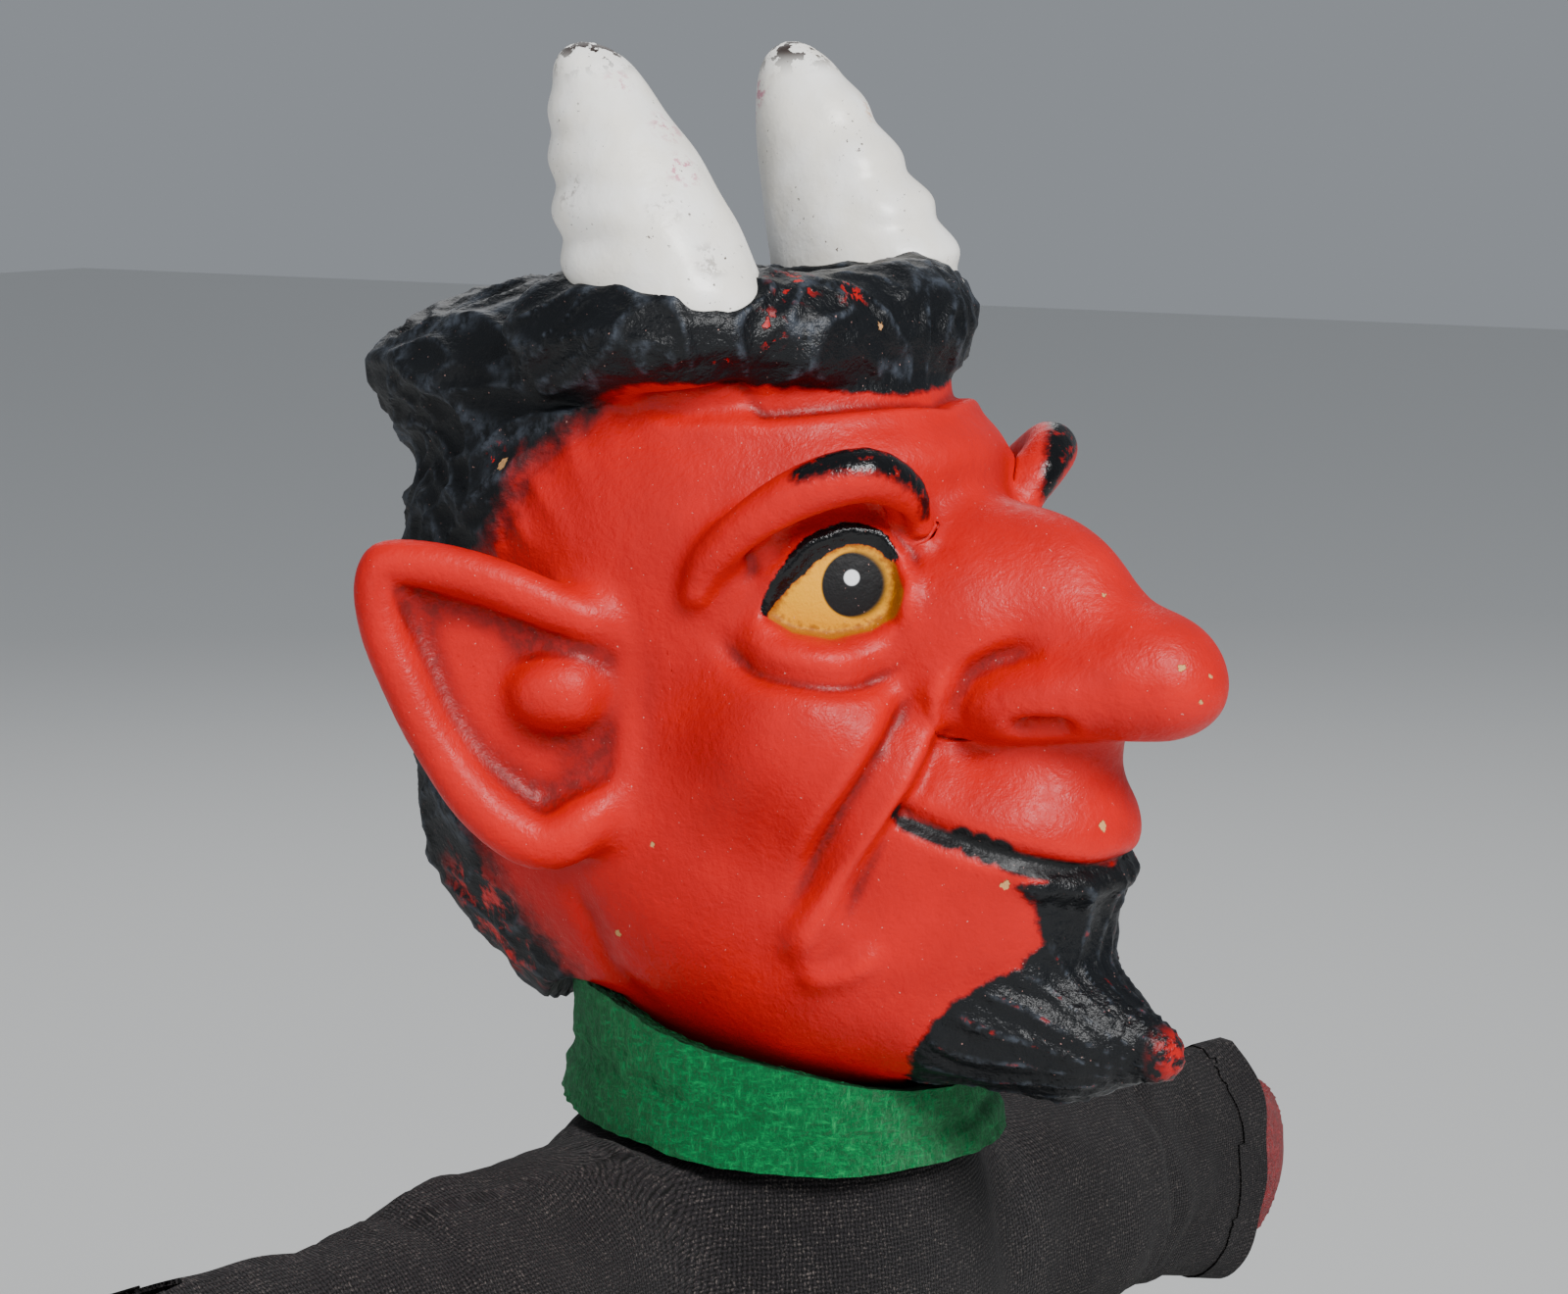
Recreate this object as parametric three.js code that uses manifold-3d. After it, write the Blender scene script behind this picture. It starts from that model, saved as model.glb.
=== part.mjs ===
// Glove puppet of the folk-theatre devil: a hollow vinyl head with plugged-in horns, tied into a
// black cloth glove with a felt collar and felt hands. Millimetres, +Z up. The face looks along -Y,
// the puppet's own right hand is at -X, and the origin is the middle of the glove's open hem.
import * as THREE from "three";
import { mergeVertices } from "three/addons/utils/BufferGeometryUtils.js";
import Module from "manifold-3d";

const wasm = await Module();
wasm.setup();

// ---------------------------------------------------------------- driving dimensions
const GAP = 0.3; // clearance between pieces that touch
const ROUND = 28; // sides of a full turn on the large round pieces
const CLOTH = 1.4; // glove cloth with its seam allowance

// glove body: [height, half width, half depth]
const BODY_SECTIONS = [
  [0, 62, 38],
  [45, 53, 33],
  [90, 45, 29],
  [125, 42.5, 27.5],
  [145, 40, 26.5],
  [162, 36, 25.5],
  [172, 33, 24.8],
  [182, 22, 22],
];
const BODY_ROWS = 12;
const HEM_HEIGHT = 12;
const HEM_CLOTH = 1.5;

// neck joint
const NECK_PIVOT_Z = 178;
const NECK_CUT_R = 25; // hole left in the glove body
const NECKBAND_CLOTH = 1.3;
const NECKBAND_FLANGE_Z = 190; // the band's turned-out edge, which carries the collar
const FLANGE_CLOTH = 1.4;
const CORD_R = 0.9;
const CORD_Z = 186.6;
const COLLAR_SWEEP_R = 28.4; // room for the collar's lower edge when the head nods
const NECKLINE_Z = 171.5;
const GUSSET_R = 24.6;
const GUSSET_CLOTH = 1.3;
const COLLAR_R = 27;
const COLLAR_FELT = 1.8;
const COLLAR_BOTTOM_Z = 184;
const COLLAR_TOP_Z = 196.6; // at the middle; the upper edge rises towards the nape
const COLLAR_SLANT = 6; // degrees
const TURN_ROOM = 2.3; // head above collar, so that the slanted edges clear when the head turns

// head
const HEAD_WALL = 2.2;
const NECK_STUB_R = 17;
const NECK_STUB_Z = 184.3;
const NECK_STUB_TOP_Z = 207; // inside the head
const TUBE_R = 14.4;
const TUBE_WALL = 1.5;
const TUBE_BOTTOM_Z = 170;
const TUBE_TOP_Z = 236;
const HORN_X = 22;
const HORN_TIP_Z = 322.5;
const HORN_PEG_R = 5;
const HORN_PEG_Y = 3;
const HORN_PEG_FOOT_Z = 283;
const HORN_PEG_TOP_Z = 300; // inside the horn
const HORN_HOLE_Z = 280;
const EAR_SPREAD = 22; // degrees: the ears stand out towards the back

// arms: the same arm is used twice, turned about the shoulder line
const SHOULDER_X = 46;
const SHOULDER_Z = 162;
const ARM_LINE_TILT = 7; // degrees: the right arm is held up and the left arm down by this much
const SHOULDER_R = 18.6; // ball of cloth at the shoulder
const ARMHOLE_R = 21.5;
const SLEEVE_R = 16;
const ELBOW_X = 36; // from shoulder to elbow
const ELBOW_R = 17.3;
const FOREARM_R = 15.4;
const CUFF_R = 17;
const CUFF_START = 25;
const CUFF_END = 33;
const HAND_START = 24;
const HAND_LENGTH = 28;
const FELT = 1.5;

const rad = THREE.MathUtils.degToRad;

// ---------------------------------------------------------------- solids from geometries
function toSolid(geometry) {
  const bare = geometry.clone();
  bare.deleteAttribute("normal");
  bare.deleteAttribute("uv");
  const merged = mergeVertices(bare, 1e-4);
  const corners = Array.from(merged.index.array);
  const triangles = [];
  for (let i = 0; i < corners.length; i += 3) {
    const [a, b, c] = corners.slice(i, i + 3);
    if (a !== b && b !== c && c !== a) triangles.push(a, b, c);
  }
  const vertProperties = new Float32Array(merged.attributes.position.array);
  const triVerts = new Uint32Array(triangles);
  return new wasm.Manifold(new wasm.Mesh({ numProp: 3, vertProperties, triVerts }));
}

function toGeometry(solid) {
  const mesh = solid.getMesh();
  const geometry = new THREE.BufferGeometry();
  geometry.setAttribute("position", new THREE.BufferAttribute(new Float32Array(mesh.vertProperties), 3));
  geometry.setIndex(Array.from(mesh.triVerts));
  geometry.computeVertexNormals();
  return geometry;
}

// a turned shape about the Z axis; the outline climbs the outside and comes down the inside
function turned(outline, sides = ROUND) {
  const points = outline.map(([r, z]) => new THREE.Vector2(r, z));
  return new THREE.LatheGeometry(points, sides).rotateX(Math.PI / 2);
}

// points on a circle about (0, height), from one polar angle to another, both from the +Z axis
function arc(radius, fromDeg, toDeg, height = 0, steps = 4) {
  const points = [];
  for (let i = 0; i <= steps; i++) {
    const angle = rad(fromDeg + ((toDeg - fromDeg) * i) / steps);
    points.push([radius * Math.sin(angle), height + radius * Math.cos(angle)]);
  }
  return points;
}

function box(from, to) {
  const size = to.map((value, axis) => value - from[axis]);
  const middle = to.map((value, axis) => (value + from[axis]) / 2);
  return toSolid(new THREE.BoxGeometry(...size).translate(...middle));
}

// everything under a plane that rises towards +Y and crosses the Z axis at this height
function belowSlant(height) {
  const size = 200;
  const slab = new THREE.BoxGeometry(size, size, size).translate(0, 0, -size / 2);
  return toSolid(slab.rotateX(rad(COLLAR_SLANT)).translate(0, 0, height));
}

function ball(centre, radii, tiltDeg = 0, sides = 14) {
  const sphere = new THREE.SphereGeometry(1, sides, Math.round(sides * 0.6));
  return toSolid(sphere.scale(...radii).rotateX(rad(tiltDeg)).translate(...centre));
}

function rod(radius, fromZ, toZ, x = 0, y = 0) {
  const cylinder = new THREE.CylinderGeometry(radius, radius, toZ - fromZ, ROUND);
  return toSolid(cylinder.rotateX(Math.PI / 2).translate(x, y, (fromZ + toZ) / 2));
}

// a closed form through oval sections [height, half width, half depth, y of its middle]
function ovalLoft(sections, rows, grow = 0, footDrop = 0) {
  const curve = new THREE.CatmullRomCurve3(
    sections.map(([z, width, depth]) => new THREE.Vector3(width + grow, depth + grow, z)),
  );
  const lean = new THREE.CatmullRomCurve3(
    sections.map(([z, , , middle = 0]) => new THREE.Vector3(middle, 0, z)),
  );
  const ovals = curve.getPoints(rows).map((oval, i) => ({ ...oval, middle: lean.getPoint(i / rows).x }));
  const foot = { ...ovals[0], z: ovals[0].z - footDrop };
  const stack = footDrop > 0 ? [foot, ...ovals] : ovals;
  const ends = [{ ...stack[0], x: 0 }, ...stack, { ...stack.at(-1), x: 0 }];
  const outline = ends.map((oval) => new THREE.Vector2(oval.x, oval.z));
  const loft = new THREE.LatheGeometry(outline, ROUND);
  const position = loft.attributes.position;
  for (let i = 0; i < position.count; i++) {
    const oval = ends[i % ends.length];
    const squash = oval.x > 0 ? oval.y / oval.x : 1;
    position.setZ(i, position.getZ(i) * squash - oval.middle);
  }
  return toSolid(loft.rotateX(Math.PI / 2));
}

// ---------------------------------------------------------------- glove body
function shoulderBalls(radius) {
  return [-1, 1].map((side) => ball([side * SHOULDER_X, 0, SHOULDER_Z], [radius, radius, radius], 0, 20));
}

function armhole(side) {
  const reach = 40;
  const cutter = new THREE.CylinderGeometry(ARMHOLE_R, ARMHOLE_R, reach, ROUND);
  const start = SHOULDER_X - 6;
  return toSolid(cutter.rotateZ(Math.PI / 2).translate(side * (start + reach / 2), 0, SHOULDER_Z));
}

function gloveBody() {
  const socketR = SHOULDER_R + 0.6;
  const neck = [0, 0, NECK_PIVOT_Z];
  let shell = ovalLoft(BODY_SECTIONS, BODY_ROWS);
  for (const outside of shoulderBalls(socketR + CLOTH)) shell = shell.add(outside);
  shell = shell.subtract(ovalLoft(BODY_SECTIONS, BODY_ROWS, -CLOTH, 3));
  for (const inside of shoulderBalls(socketR)) shell = shell.subtract(inside);
  shell = shell.subtract(ball(neck, [NECK_CUT_R, NECK_CUT_R, NECK_CUT_R], 0, 24));
  const sweep = ball(neck, [COLLAR_SWEEP_R, COLLAR_SWEEP_R, COLLAR_SWEEP_R], 0, 24);
  shell = shell.subtract(sweep.intersect(box([-40, -40, NECKLINE_Z], [40, 40, 220])));
  for (const side of [-1, 1]) shell = shell.subtract(armhole(side));
  return shell;
}

function gloveHalf(body, side) {
  const near = side * (GAP / 2);
  const far = side * 60;
  return body.intersect(box([-90, Math.min(near, far), -5], [90, Math.max(near, far), 230]));
}

function hemBand() {
  const outside = ovalLoft(BODY_SECTIONS, BODY_ROWS, GAP + HEM_CLOTH);
  const inside = ovalLoft(BODY_SECTIONS, BODY_ROWS, GAP, 3);
  return outside.subtract(inside).intersect(box([-90, -90, 0], [90, 90, HEM_HEIGHT]));
}

// ---------------------------------------------------------------- neck
function closed(outline) {
  return [...outline, outline[0]];
}

function neckGusset() {
  const outside = arc(GUSSET_R, 130, 72, NECK_PIVOT_Z);
  const inside = arc(GUSSET_R - GUSSET_CLOTH, 72, 130, NECK_PIVOT_Z);
  return turned(closed([...outside, ...inside]));
}

function gloveNeckband() {
  const inR = NECK_STUB_R + GAP;
  const outR = inR + NECKBAND_CLOTH;
  const flangeR = COLLAR_R - COLLAR_FELT - GAP;
  const footZ = NECK_STUB_Z + 0.2;
  const topZ = NECKBAND_FLANGE_Z + FLANGE_CLOTH;
  return turned(
    closed([
      [outR, footZ],
      [outR, NECKBAND_FLANGE_Z],
      [flangeR, NECKBAND_FLANGE_Z],
      [flangeR, topZ],
      [inR, topZ],
      [inR, footZ],
    ]),
  );
}

function bindingCord() {
  const ringR = NECK_STUB_R + GAP + NECKBAND_CLOTH + GAP + CORD_R;
  return new THREE.TorusGeometry(ringR, CORD_R, 6, ROUND).translate(0, 0, CORD_Z);
}

function feltCollar() {
  const ring = turned(
    closed([
      [COLLAR_R, COLLAR_BOTTOM_Z],
      [COLLAR_R, COLLAR_TOP_Z + 10],
      [COLLAR_R - COLLAR_FELT, COLLAR_TOP_Z + 10],
      [COLLAR_R - COLLAR_FELT, COLLAR_BOTTOM_Z],
    ]),
  );
  return toGeometry(toSolid(ring).intersect(belowSlant(COLLAR_TOP_Z)));
}

// ---------------------------------------------------------------- head
// lumps of the head: [middle], [half sizes], tilt in degrees about X, sides
const SKULL = [[0, 13, 258], [33, 43, 38]];
const LOWER_SKULL = [[0, 9, 229], [32, 40, 34]];
const FACE = [[0, -6, 250], [29, 30, 42]];
const JAW = [[0, -17, 212], [25, 28, 20]];
const FRINGE = [[0, -6, 284], [28, 26, 12], 8, 18];
const HEAD_LUMPS = [
  [...SKULL, 0, 20],
  [...LOWER_SKULL, 0, 20],
  [...FACE, 0, 20],
  [...JAW, 0, 20],
  FRINGE,
  [[0, -33, 238], [17, 18, 18]], // cheeks and upper lip
  [[0, -33, 223], [19, 21, 13]], // mouth
  [[0, -31, 208], [17, 19, 13]], // chin
  [[0, -39, 256], [9, 13, 13], 30], // nose bridge
  [[0, -47, 250], [9, 14, 9], 30], // nose
  [[0, -55.5, 247], [8, 8, 8]], // nose tip
  [[-9, -42, 243], [5, 9, 5]], // nostril wings
  [[9, -42, 243], [5, 9, 5]],
  [[-19, -20, 267], [10, 9, 9]], // brows
  [[19, -20, 267], [10, 9, 9]],
  [[0, -44, 203.5], [12, 15.5, 9.5], 20], // pointed beard
];

function headInside() {
  const shrink = ([middle, half]) => ball(middle, half.map((size) => size - HEAD_WALL), 0, 20);
  const inside = shrink(SKULL).add(shrink(LOWER_SKULL)).add(shrink(JAW));
  return inside.subtract(belowSlant(COLLAR_TOP_Z + TURN_ROOM + HEAD_WALL));
}

function ear(side) {
  const oval = (sides, size) => new THREE.SphereGeometry(1, sides, sides * 0.6).scale(...size);
  const turn = (form) => form.rotateX(rad(-30)).rotateZ(rad(side * -EAR_SPREAD));
  const lobe = toSolid(turn(oval(15, [3.6, 17, 19])).translate(side * 36.2, 19, 242));
  const bowl = toSolid(turn(oval(15, [3, 10, 13])).translate(side * 41.5, 19, 242));
  return lobe.subtract(bowl);
}

function headSolid() {
  let head = toSolid(turned([[0, 195], [27.5, 195], [31, 214], [0, 228]])); // neck flare
  for (const lump of HEAD_LUMPS) head = head.add(ball(...lump));
  for (const side of [-1, 1]) head = head.add(ear(side));
  return head;
}

function headShell(solid) {
  const recess = rod(COLLAR_R + 1.3, 170, 215).intersect(belowSlant(COLLAR_TOP_Z + TURN_ROOM));
  let shell = solid.subtract(recess).add(rod(NECK_STUB_R, NECK_STUB_Z, NECK_STUB_TOP_Z));
  shell = shell.subtract(headInside()).subtract(rod(TUBE_R + GAP, 180, 212));
  for (const side of [-1, 1]) {
    shell = shell.subtract(rod(HORN_PEG_R + GAP, HORN_HOLE_Z, HORN_PEG_TOP_Z, side * HORN_X, HORN_PEG_Y));
  }
  return shell;
}

function fingerTube() {
  return turned(
    closed([
      [TUBE_R, TUBE_BOTTOM_Z],
      [TUBE_R, TUBE_TOP_Z],
      [TUBE_R - TUBE_WALL, TUBE_TOP_Z],
      [TUBE_R - TUBE_WALL, TUBE_BOTTOM_Z],
    ]),
  );
}

// horn: [height, half width, half depth, y of its middle]
const HORN_SECTIONS = [
  [280, 10, 14, 0.5],
  [293, 10, 13.2, 2.5],
  [303, 8.8, 11, 5.5],
  [313, 6.8, 8.2, 10],
  [319.5, 4.8, 5.8, 13],
  [HORN_TIP_Z, 2, 2.4, 14],
];

function horn(side) {
  const grown = ([middle, half, tilt, sides]) => ball(middle, half.map((size) => size + GAP), tilt, sides);
  let cone = ovalLoft(HORN_SECTIONS, 8).translate([side * HORN_X, 0, 0]);
  for (const lump of [[...SKULL, 0, 20], FRINGE, [...FACE, 0, 20]]) cone = cone.subtract(grown(lump));
  return cone.add(rod(HORN_PEG_R, HORN_PEG_FOOT_Z, HORN_PEG_TOP_Z, side * HORN_X, HORN_PEG_Y));
}

// ---------------------------------------------------------------- arms, along +X of their own frame
function alongX(outline) {
  return turned(outline, 24).rotateY(Math.PI / 2);
}

// polar angle at which a ball of this radius meets a coaxial tube
function meetDeg(tubeR, ballR) {
  return THREE.MathUtils.radToDeg(Math.asin(tubeR / ballR));
}

function upperSleeve() {
  const tubeInR = SLEEVE_R - CLOTH;
  const ballInR = SHOULDER_R - CLOTH;
  const socketInR = ELBOW_R + 0.4;
  const socketR = socketInR + CLOTH;
  return alongX(
    closed([
      ...arc(SHOULDER_R, 130, meetDeg(SLEEVE_R, SHOULDER_R)),
      ...arc(socketR, 180 - meetDeg(SLEEVE_R, socketR), 115, ELBOW_X, 2),
      ...arc(socketInR, 115, 180 - meetDeg(tubeInR, socketInR), ELBOW_X, 2),
      ...arc(ballInR, meetDeg(tubeInR, ballInR), 130),
    ]),
  );
}

function lowerSleeve() {
  const endR = CUFF_R - GAP;
  const inR = FOREARM_R - CLOTH;
  const ballInR = ELBOW_R - CLOTH;
  return alongX(
    closed([
      ...arc(ELBOW_R, 130, meetDeg(FOREARM_R, ELBOW_R)),
      [endR, CUFF_END - 0.5],
      [endR - CLOTH, CUFF_END - 0.5],
      ...arc(ballInR, meetDeg(inR, ballInR), 130),
    ]),
  );
}

function cuff() {
  const outR = CUFF_R + 1.5;
  return alongX(
    closed([
      [outR - 0.4, CUFF_START],
      [outR, CUFF_START + 1],
      [outR, CUFF_END - 0.5],
      [outR - 0.4, CUFF_END],
      [CUFF_R, CUFF_END],
      [CUFF_R, CUFF_START],
    ]),
  );
}

// one felt layer of the mitten hand; +X runs to the fingertips and the thumb is on top
function handFelt(layer) {
  const wrist = 11;
  const palm = 12.5;
  const outline = new THREE.Shape();
  outline.moveTo(0, -wrist);
  outline.lineTo(12, -palm);
  outline.bezierCurveTo(22, -palm, HAND_LENGTH, -8, HAND_LENGTH, 0);
  outline.bezierCurveTo(HAND_LENGTH, 6, 24, 8.5, 19, 8);
  outline.bezierCurveTo(20, 13, 16, 15.5, 12.5, 13);
  outline.lineTo(0, wrist);
  const plate = new THREE.ExtrudeGeometry(outline, { depth: FELT, bevelEnabled: false, curveSegments: 6 });
  const face = layer > 0 ? GAP / 2 + FELT : -GAP / 2;
  return plate.rotateX(Math.PI / 2).translate(HAND_START, face, 0);
}

// ---------------------------------------------------------------- materials and assembly
const material = (color, roughness) => new THREE.MeshStandardMaterial({ color, roughness, metalness: 0 });
const blackCloth = () => material(0x1b1b1f, 0.9);
const redFelt = () => material(0xb02a34, 0.95);

function piece(name, geometry, finish) {
  const mesh = new THREE.Mesh(geometry, finish);
  mesh.name = name;
  return mesh;
}

function arm(side, name) {
  const upper = new THREE.Group();
  upper.position.set(side * SHOULDER_X, 0, SHOULDER_Z);
  upper.rotation.set(0, rad(ARM_LINE_TILT), side > 0 ? 0 : Math.PI);
  upper.add(piece(`${name}_upper_sleeve`, upperSleeve(), blackCloth()));
  const lower = new THREE.Group();
  lower.position.set(ELBOW_X, 0, 0);
  lower.add(piece(`${name}_lower_sleeve`, lowerSleeve(), blackCloth()));
  lower.add(piece(`${name}_cuff`, cuff(), blackCloth()));
  lower.add(piece(`${name}_hand_front`, handFelt(-side), redFelt()));
  lower.add(piece(`${name}_hand_back`, handFelt(side), redFelt()));
  upper.add(lower);
  return upper;
}

const group = new THREE.Group();
const body = gloveBody();
group.add(piece("glove_front", toGeometry(gloveHalf(body, -1)), blackCloth()));
group.add(piece("glove_back", toGeometry(gloveHalf(body, 1)), blackCloth()));
group.add(piece("hem_band", toGeometry(hemBand()), blackCloth()));
group.add(piece("neck_gusset", neckGusset(), blackCloth()));
group.add(piece("glove_neckband", gloveNeckband(), blackCloth()));
group.add(piece("binding_cord", bindingCord(), material(0xb9a98a, 0.9)));
group.add(piece("felt_collar", feltCollar(), material(0x008a5a, 0.95)));

const head = headSolid();
group.add(piece("head_shell", toGeometry(headShell(head)), material(0xd0281e, 0.4)));
group.add(piece("finger_tube", fingerTube(), material(0x9c8460, 0.9)));
group.add(piece("right_horn", toGeometry(horn(-1)), material(0xf2efe6, 0.35)));
group.add(piece("left_horn", toGeometry(horn(1)), material(0xf2efe6, 0.35)));
group.add(arm(-1, "right"));
group.add(arm(1, "left"));

export default group;
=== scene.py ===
"""A folk-theatre devil as a glove puppet, laid out as an add-on: one operator makes each piece or group of pieces."""
import math

import bmesh
import bpy
import numpy as np
from mathutils import Matrix, Vector
from mathutils.bvhtree import BVHTree


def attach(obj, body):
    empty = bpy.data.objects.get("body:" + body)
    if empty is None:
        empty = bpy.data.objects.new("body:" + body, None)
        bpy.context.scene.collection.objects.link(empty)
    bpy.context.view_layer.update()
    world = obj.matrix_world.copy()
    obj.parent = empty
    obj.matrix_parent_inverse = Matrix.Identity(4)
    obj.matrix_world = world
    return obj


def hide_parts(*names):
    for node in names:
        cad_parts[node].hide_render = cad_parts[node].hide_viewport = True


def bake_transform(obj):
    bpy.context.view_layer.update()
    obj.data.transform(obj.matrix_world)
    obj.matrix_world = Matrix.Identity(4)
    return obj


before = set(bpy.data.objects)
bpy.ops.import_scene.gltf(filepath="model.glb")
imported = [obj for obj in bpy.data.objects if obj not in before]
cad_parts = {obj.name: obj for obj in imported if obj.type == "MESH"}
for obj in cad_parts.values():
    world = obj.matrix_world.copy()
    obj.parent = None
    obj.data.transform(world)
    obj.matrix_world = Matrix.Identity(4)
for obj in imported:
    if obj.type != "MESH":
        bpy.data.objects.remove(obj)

bl_info = {
    "name": "Glove puppet devil",
    "version": (1, 0, 0),
    "blender": (4, 5, 0),
    "location": "View3D > Sidebar > Puppet",
    "description": "Makes a vinyl-headed glove puppet around its packed frame",
    "category": "Add Mesh",
}

MM = 0.001
SEED = 7

# ------------------------------------------------------------------ small mesh helpers


def deselect():
    if bpy.context.object and bpy.context.object.mode != "OBJECT":
        bpy.ops.object.mode_set(mode="OBJECT")
    bpy.ops.object.select_all(action="DESELECT")


def take(obj):
    """Makes obj the only selected and the active object."""
    deselect()
    obj.select_set(True)
    bpy.context.view_layer.objects.active = obj
    return obj


def apply_modifiers(obj):
    take(obj)
    for modifier in list(obj.modifiers):
        bpy.ops.object.modifier_apply(modifier=modifier.name)
    return obj


def settle(obj):
    """Puts the object's place into its mesh, so that it stands at the origin, unturned."""
    take(obj)
    bpy.ops.object.transform_apply(location=True, rotation=True, scale=True)
    return obj


def ball(middle, half, tilt, segments=24, rings=16):
    """A uv sphere stretched to half sizes in millimetres and tilted about X."""
    deselect()
    bpy.ops.mesh.primitive_uv_sphere_add(
        segments=segments,
        ring_count=rings,
        radius=1,
        location=Vector(middle) * MM,
        rotation=(math.radians(tilt), 0, 0),
        scale=Vector(half) * MM,
    )
    return settle(bpy.context.object)


def join(objects, name):
    deselect()
    for obj in objects:
        obj.select_set(True)
    bpy.context.view_layer.objects.active = objects[0]
    if len(objects) > 1:
        bpy.ops.object.join()
    merged = bpy.context.object
    merged.name = merged.data.name = name
    return merged


def remesh(obj, voxel):
    modifier = obj.modifiers.new("remesh", "REMESH")
    modifier.mode = "VOXEL"
    modifier.voxel_size = voxel * MM
    modifier.use_smooth_shade = True
    return apply_modifiers(obj)


def points_of(obj):
    """Vertex places in millimetres."""
    flat = np.empty(len(obj.data.vertices) * 3)
    obj.data.vertices.foreach_get("co", flat)
    return flat.reshape(-1, 3) / MM


def set_points(obj, points):
    obj.data.vertices.foreach_set("co", (points * MM).ravel())
    obj.data.update()


def faces_of(obj):
    return [list(face.vertices) for face in obj.data.polygons]


def surface_of(obj):
    """The surface in millimetres, for finding the nearest place on it."""
    return BVHTree.FromPolygons([Vector(point) for point in points_of(obj)], faces_of(obj))


def mirrored(points):
    """The points, each brought to the puppet's left."""
    folded = points * 1.0
    folded[:, 0] = np.abs(folded[:, 0])
    return folded


def cut_away(obj, cuts):
    """Cuts the mesh along planes: (place in millimetres, way, whether what lies past it goes)."""
    cutter = bmesh.new()
    cutter.from_mesh(obj.data)
    for place, way, remove in cuts:
        geometry = cutter.verts[:] + cutter.edges[:] + cutter.faces[:]
        bmesh.ops.bisect_plane(
            cutter, geom=geometry, plane_co=Vector(place) * MM, plane_no=Vector(way), clear_outer=remove, dist=1e-6
        )
    cutter.to_mesh(obj.data)
    cutter.free()


def taken_apart(obj):
    """Removes the object; returns its points, normals and faces, and the faces' middles."""
    points, normals, faces = points_of(obj), normals_of(obj), faces_of(obj)
    bpy.data.objects.remove(obj)
    return points, normals, faces, np.array([points[face].mean(0) for face in faces])


def normals_of(obj):
    flat = np.empty(len(obj.data.vertices) * 3)
    obj.data.vertex_normals.foreach_get("vector", flat)
    return flat.reshape(-1, 3)


def edges_of(obj):
    flat = np.empty(len(obj.data.edges) * 2, dtype=np.int64)
    obj.data.edges.foreach_get("vertices", flat)
    return flat.reshape(-1, 2)


def averaged(values, edges):
    """Each vertex's value as the mean of its neighbours'."""
    total = np.zeros_like(values)
    count = np.zeros(len(values))
    for a, b in ((0, 1), (1, 0)):
        np.add.at(total, edges[:, a], values[edges[:, b]])
        np.add.at(count, edges[:, a], 1)
    return total / (count if values.ndim == 1 else count[:, None])


def set_attribute(obj, name, values):
    attribute = obj.data.attributes.new(name, "FLOAT", "POINT")
    attribute.data.foreach_set("value", np.asarray(values, dtype=np.float32))


# ------------------------------------------------------------------ distance fields, in millimetres


def ellipsoid(points, middle, half, tilt=0.0):
    """Signed distance, nearly, to an ellipsoid tilted about X."""
    p = points - np.array(middle)
    angle = math.radians(tilt)
    y = p[:, 1] * math.cos(angle) + p[:, 2] * math.sin(angle)
    z = -p[:, 1] * math.sin(angle) + p[:, 2] * math.cos(angle)
    scaled = np.stack([p[:, 0], y, z], 1) / np.array(half)
    reach = np.linalg.norm(scaled, axis=1)
    slope = np.linalg.norm(scaled / np.array(half), axis=1) + 1e-9
    return reach * (reach - 1) / slope


def capsule(points, start, end, start_r, end_r):
    a, b = np.array(start, float), np.array(end, float)
    along = np.clip((points - a) @ (b - a) / ((b - a) @ (b - a)), 0, 1)
    nearest = a + along[:, None] * (b - a)
    return np.linalg.norm(points - nearest, axis=1) - (start_r + (end_r - start_r) * along)


def rounded(turns, steps=4, closed=True):
    """A smooth line through the given points."""
    turns = np.array(turns, float)
    if closed:
        ring = np.concatenate([turns[-1:], turns, turns[:2]])
    else:
        ring = np.concatenate([2 * turns[:1] - turns[1:2], turns, 2 * turns[-1:] - turns[-2:-1]])
    line = []
    for a, b, c, d in zip(ring, ring[1:], ring[2:], ring[3:]):
        for t in np.arange(steps) / steps:
            line.append(
                0.5 * (2 * b + (c - a) * t + (2 * a - 5 * b + 4 * c - d) * t * t + (3 * b - a - 3 * c + d) * t**3)
            )
    if not closed:
        line.append(turns[-1])
    return np.array(line)


def chain(points, turns):
    """Distance to a smooth line of changing radius; each turn is (x, y, z, radius)."""
    line = rounded(turns, 3, closed=False)
    best = np.full(len(points), 1e9)
    for a, b in zip(line, line[1:]):
        best = np.minimum(best, capsule(points, a[:3], b[:3], a[3], b[3]))
    return best


def blended(a, b, soft):
    """Union of two fields with a fillet of about this radius."""
    near = np.maximum(soft - np.abs(a - b), 0)
    return np.minimum(a, b) - near * near / (4 * soft)


def carved(a, b, soft):
    """Field a with field b cut away, with a rounded edge."""
    return -blended(-a, b, soft)


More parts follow.
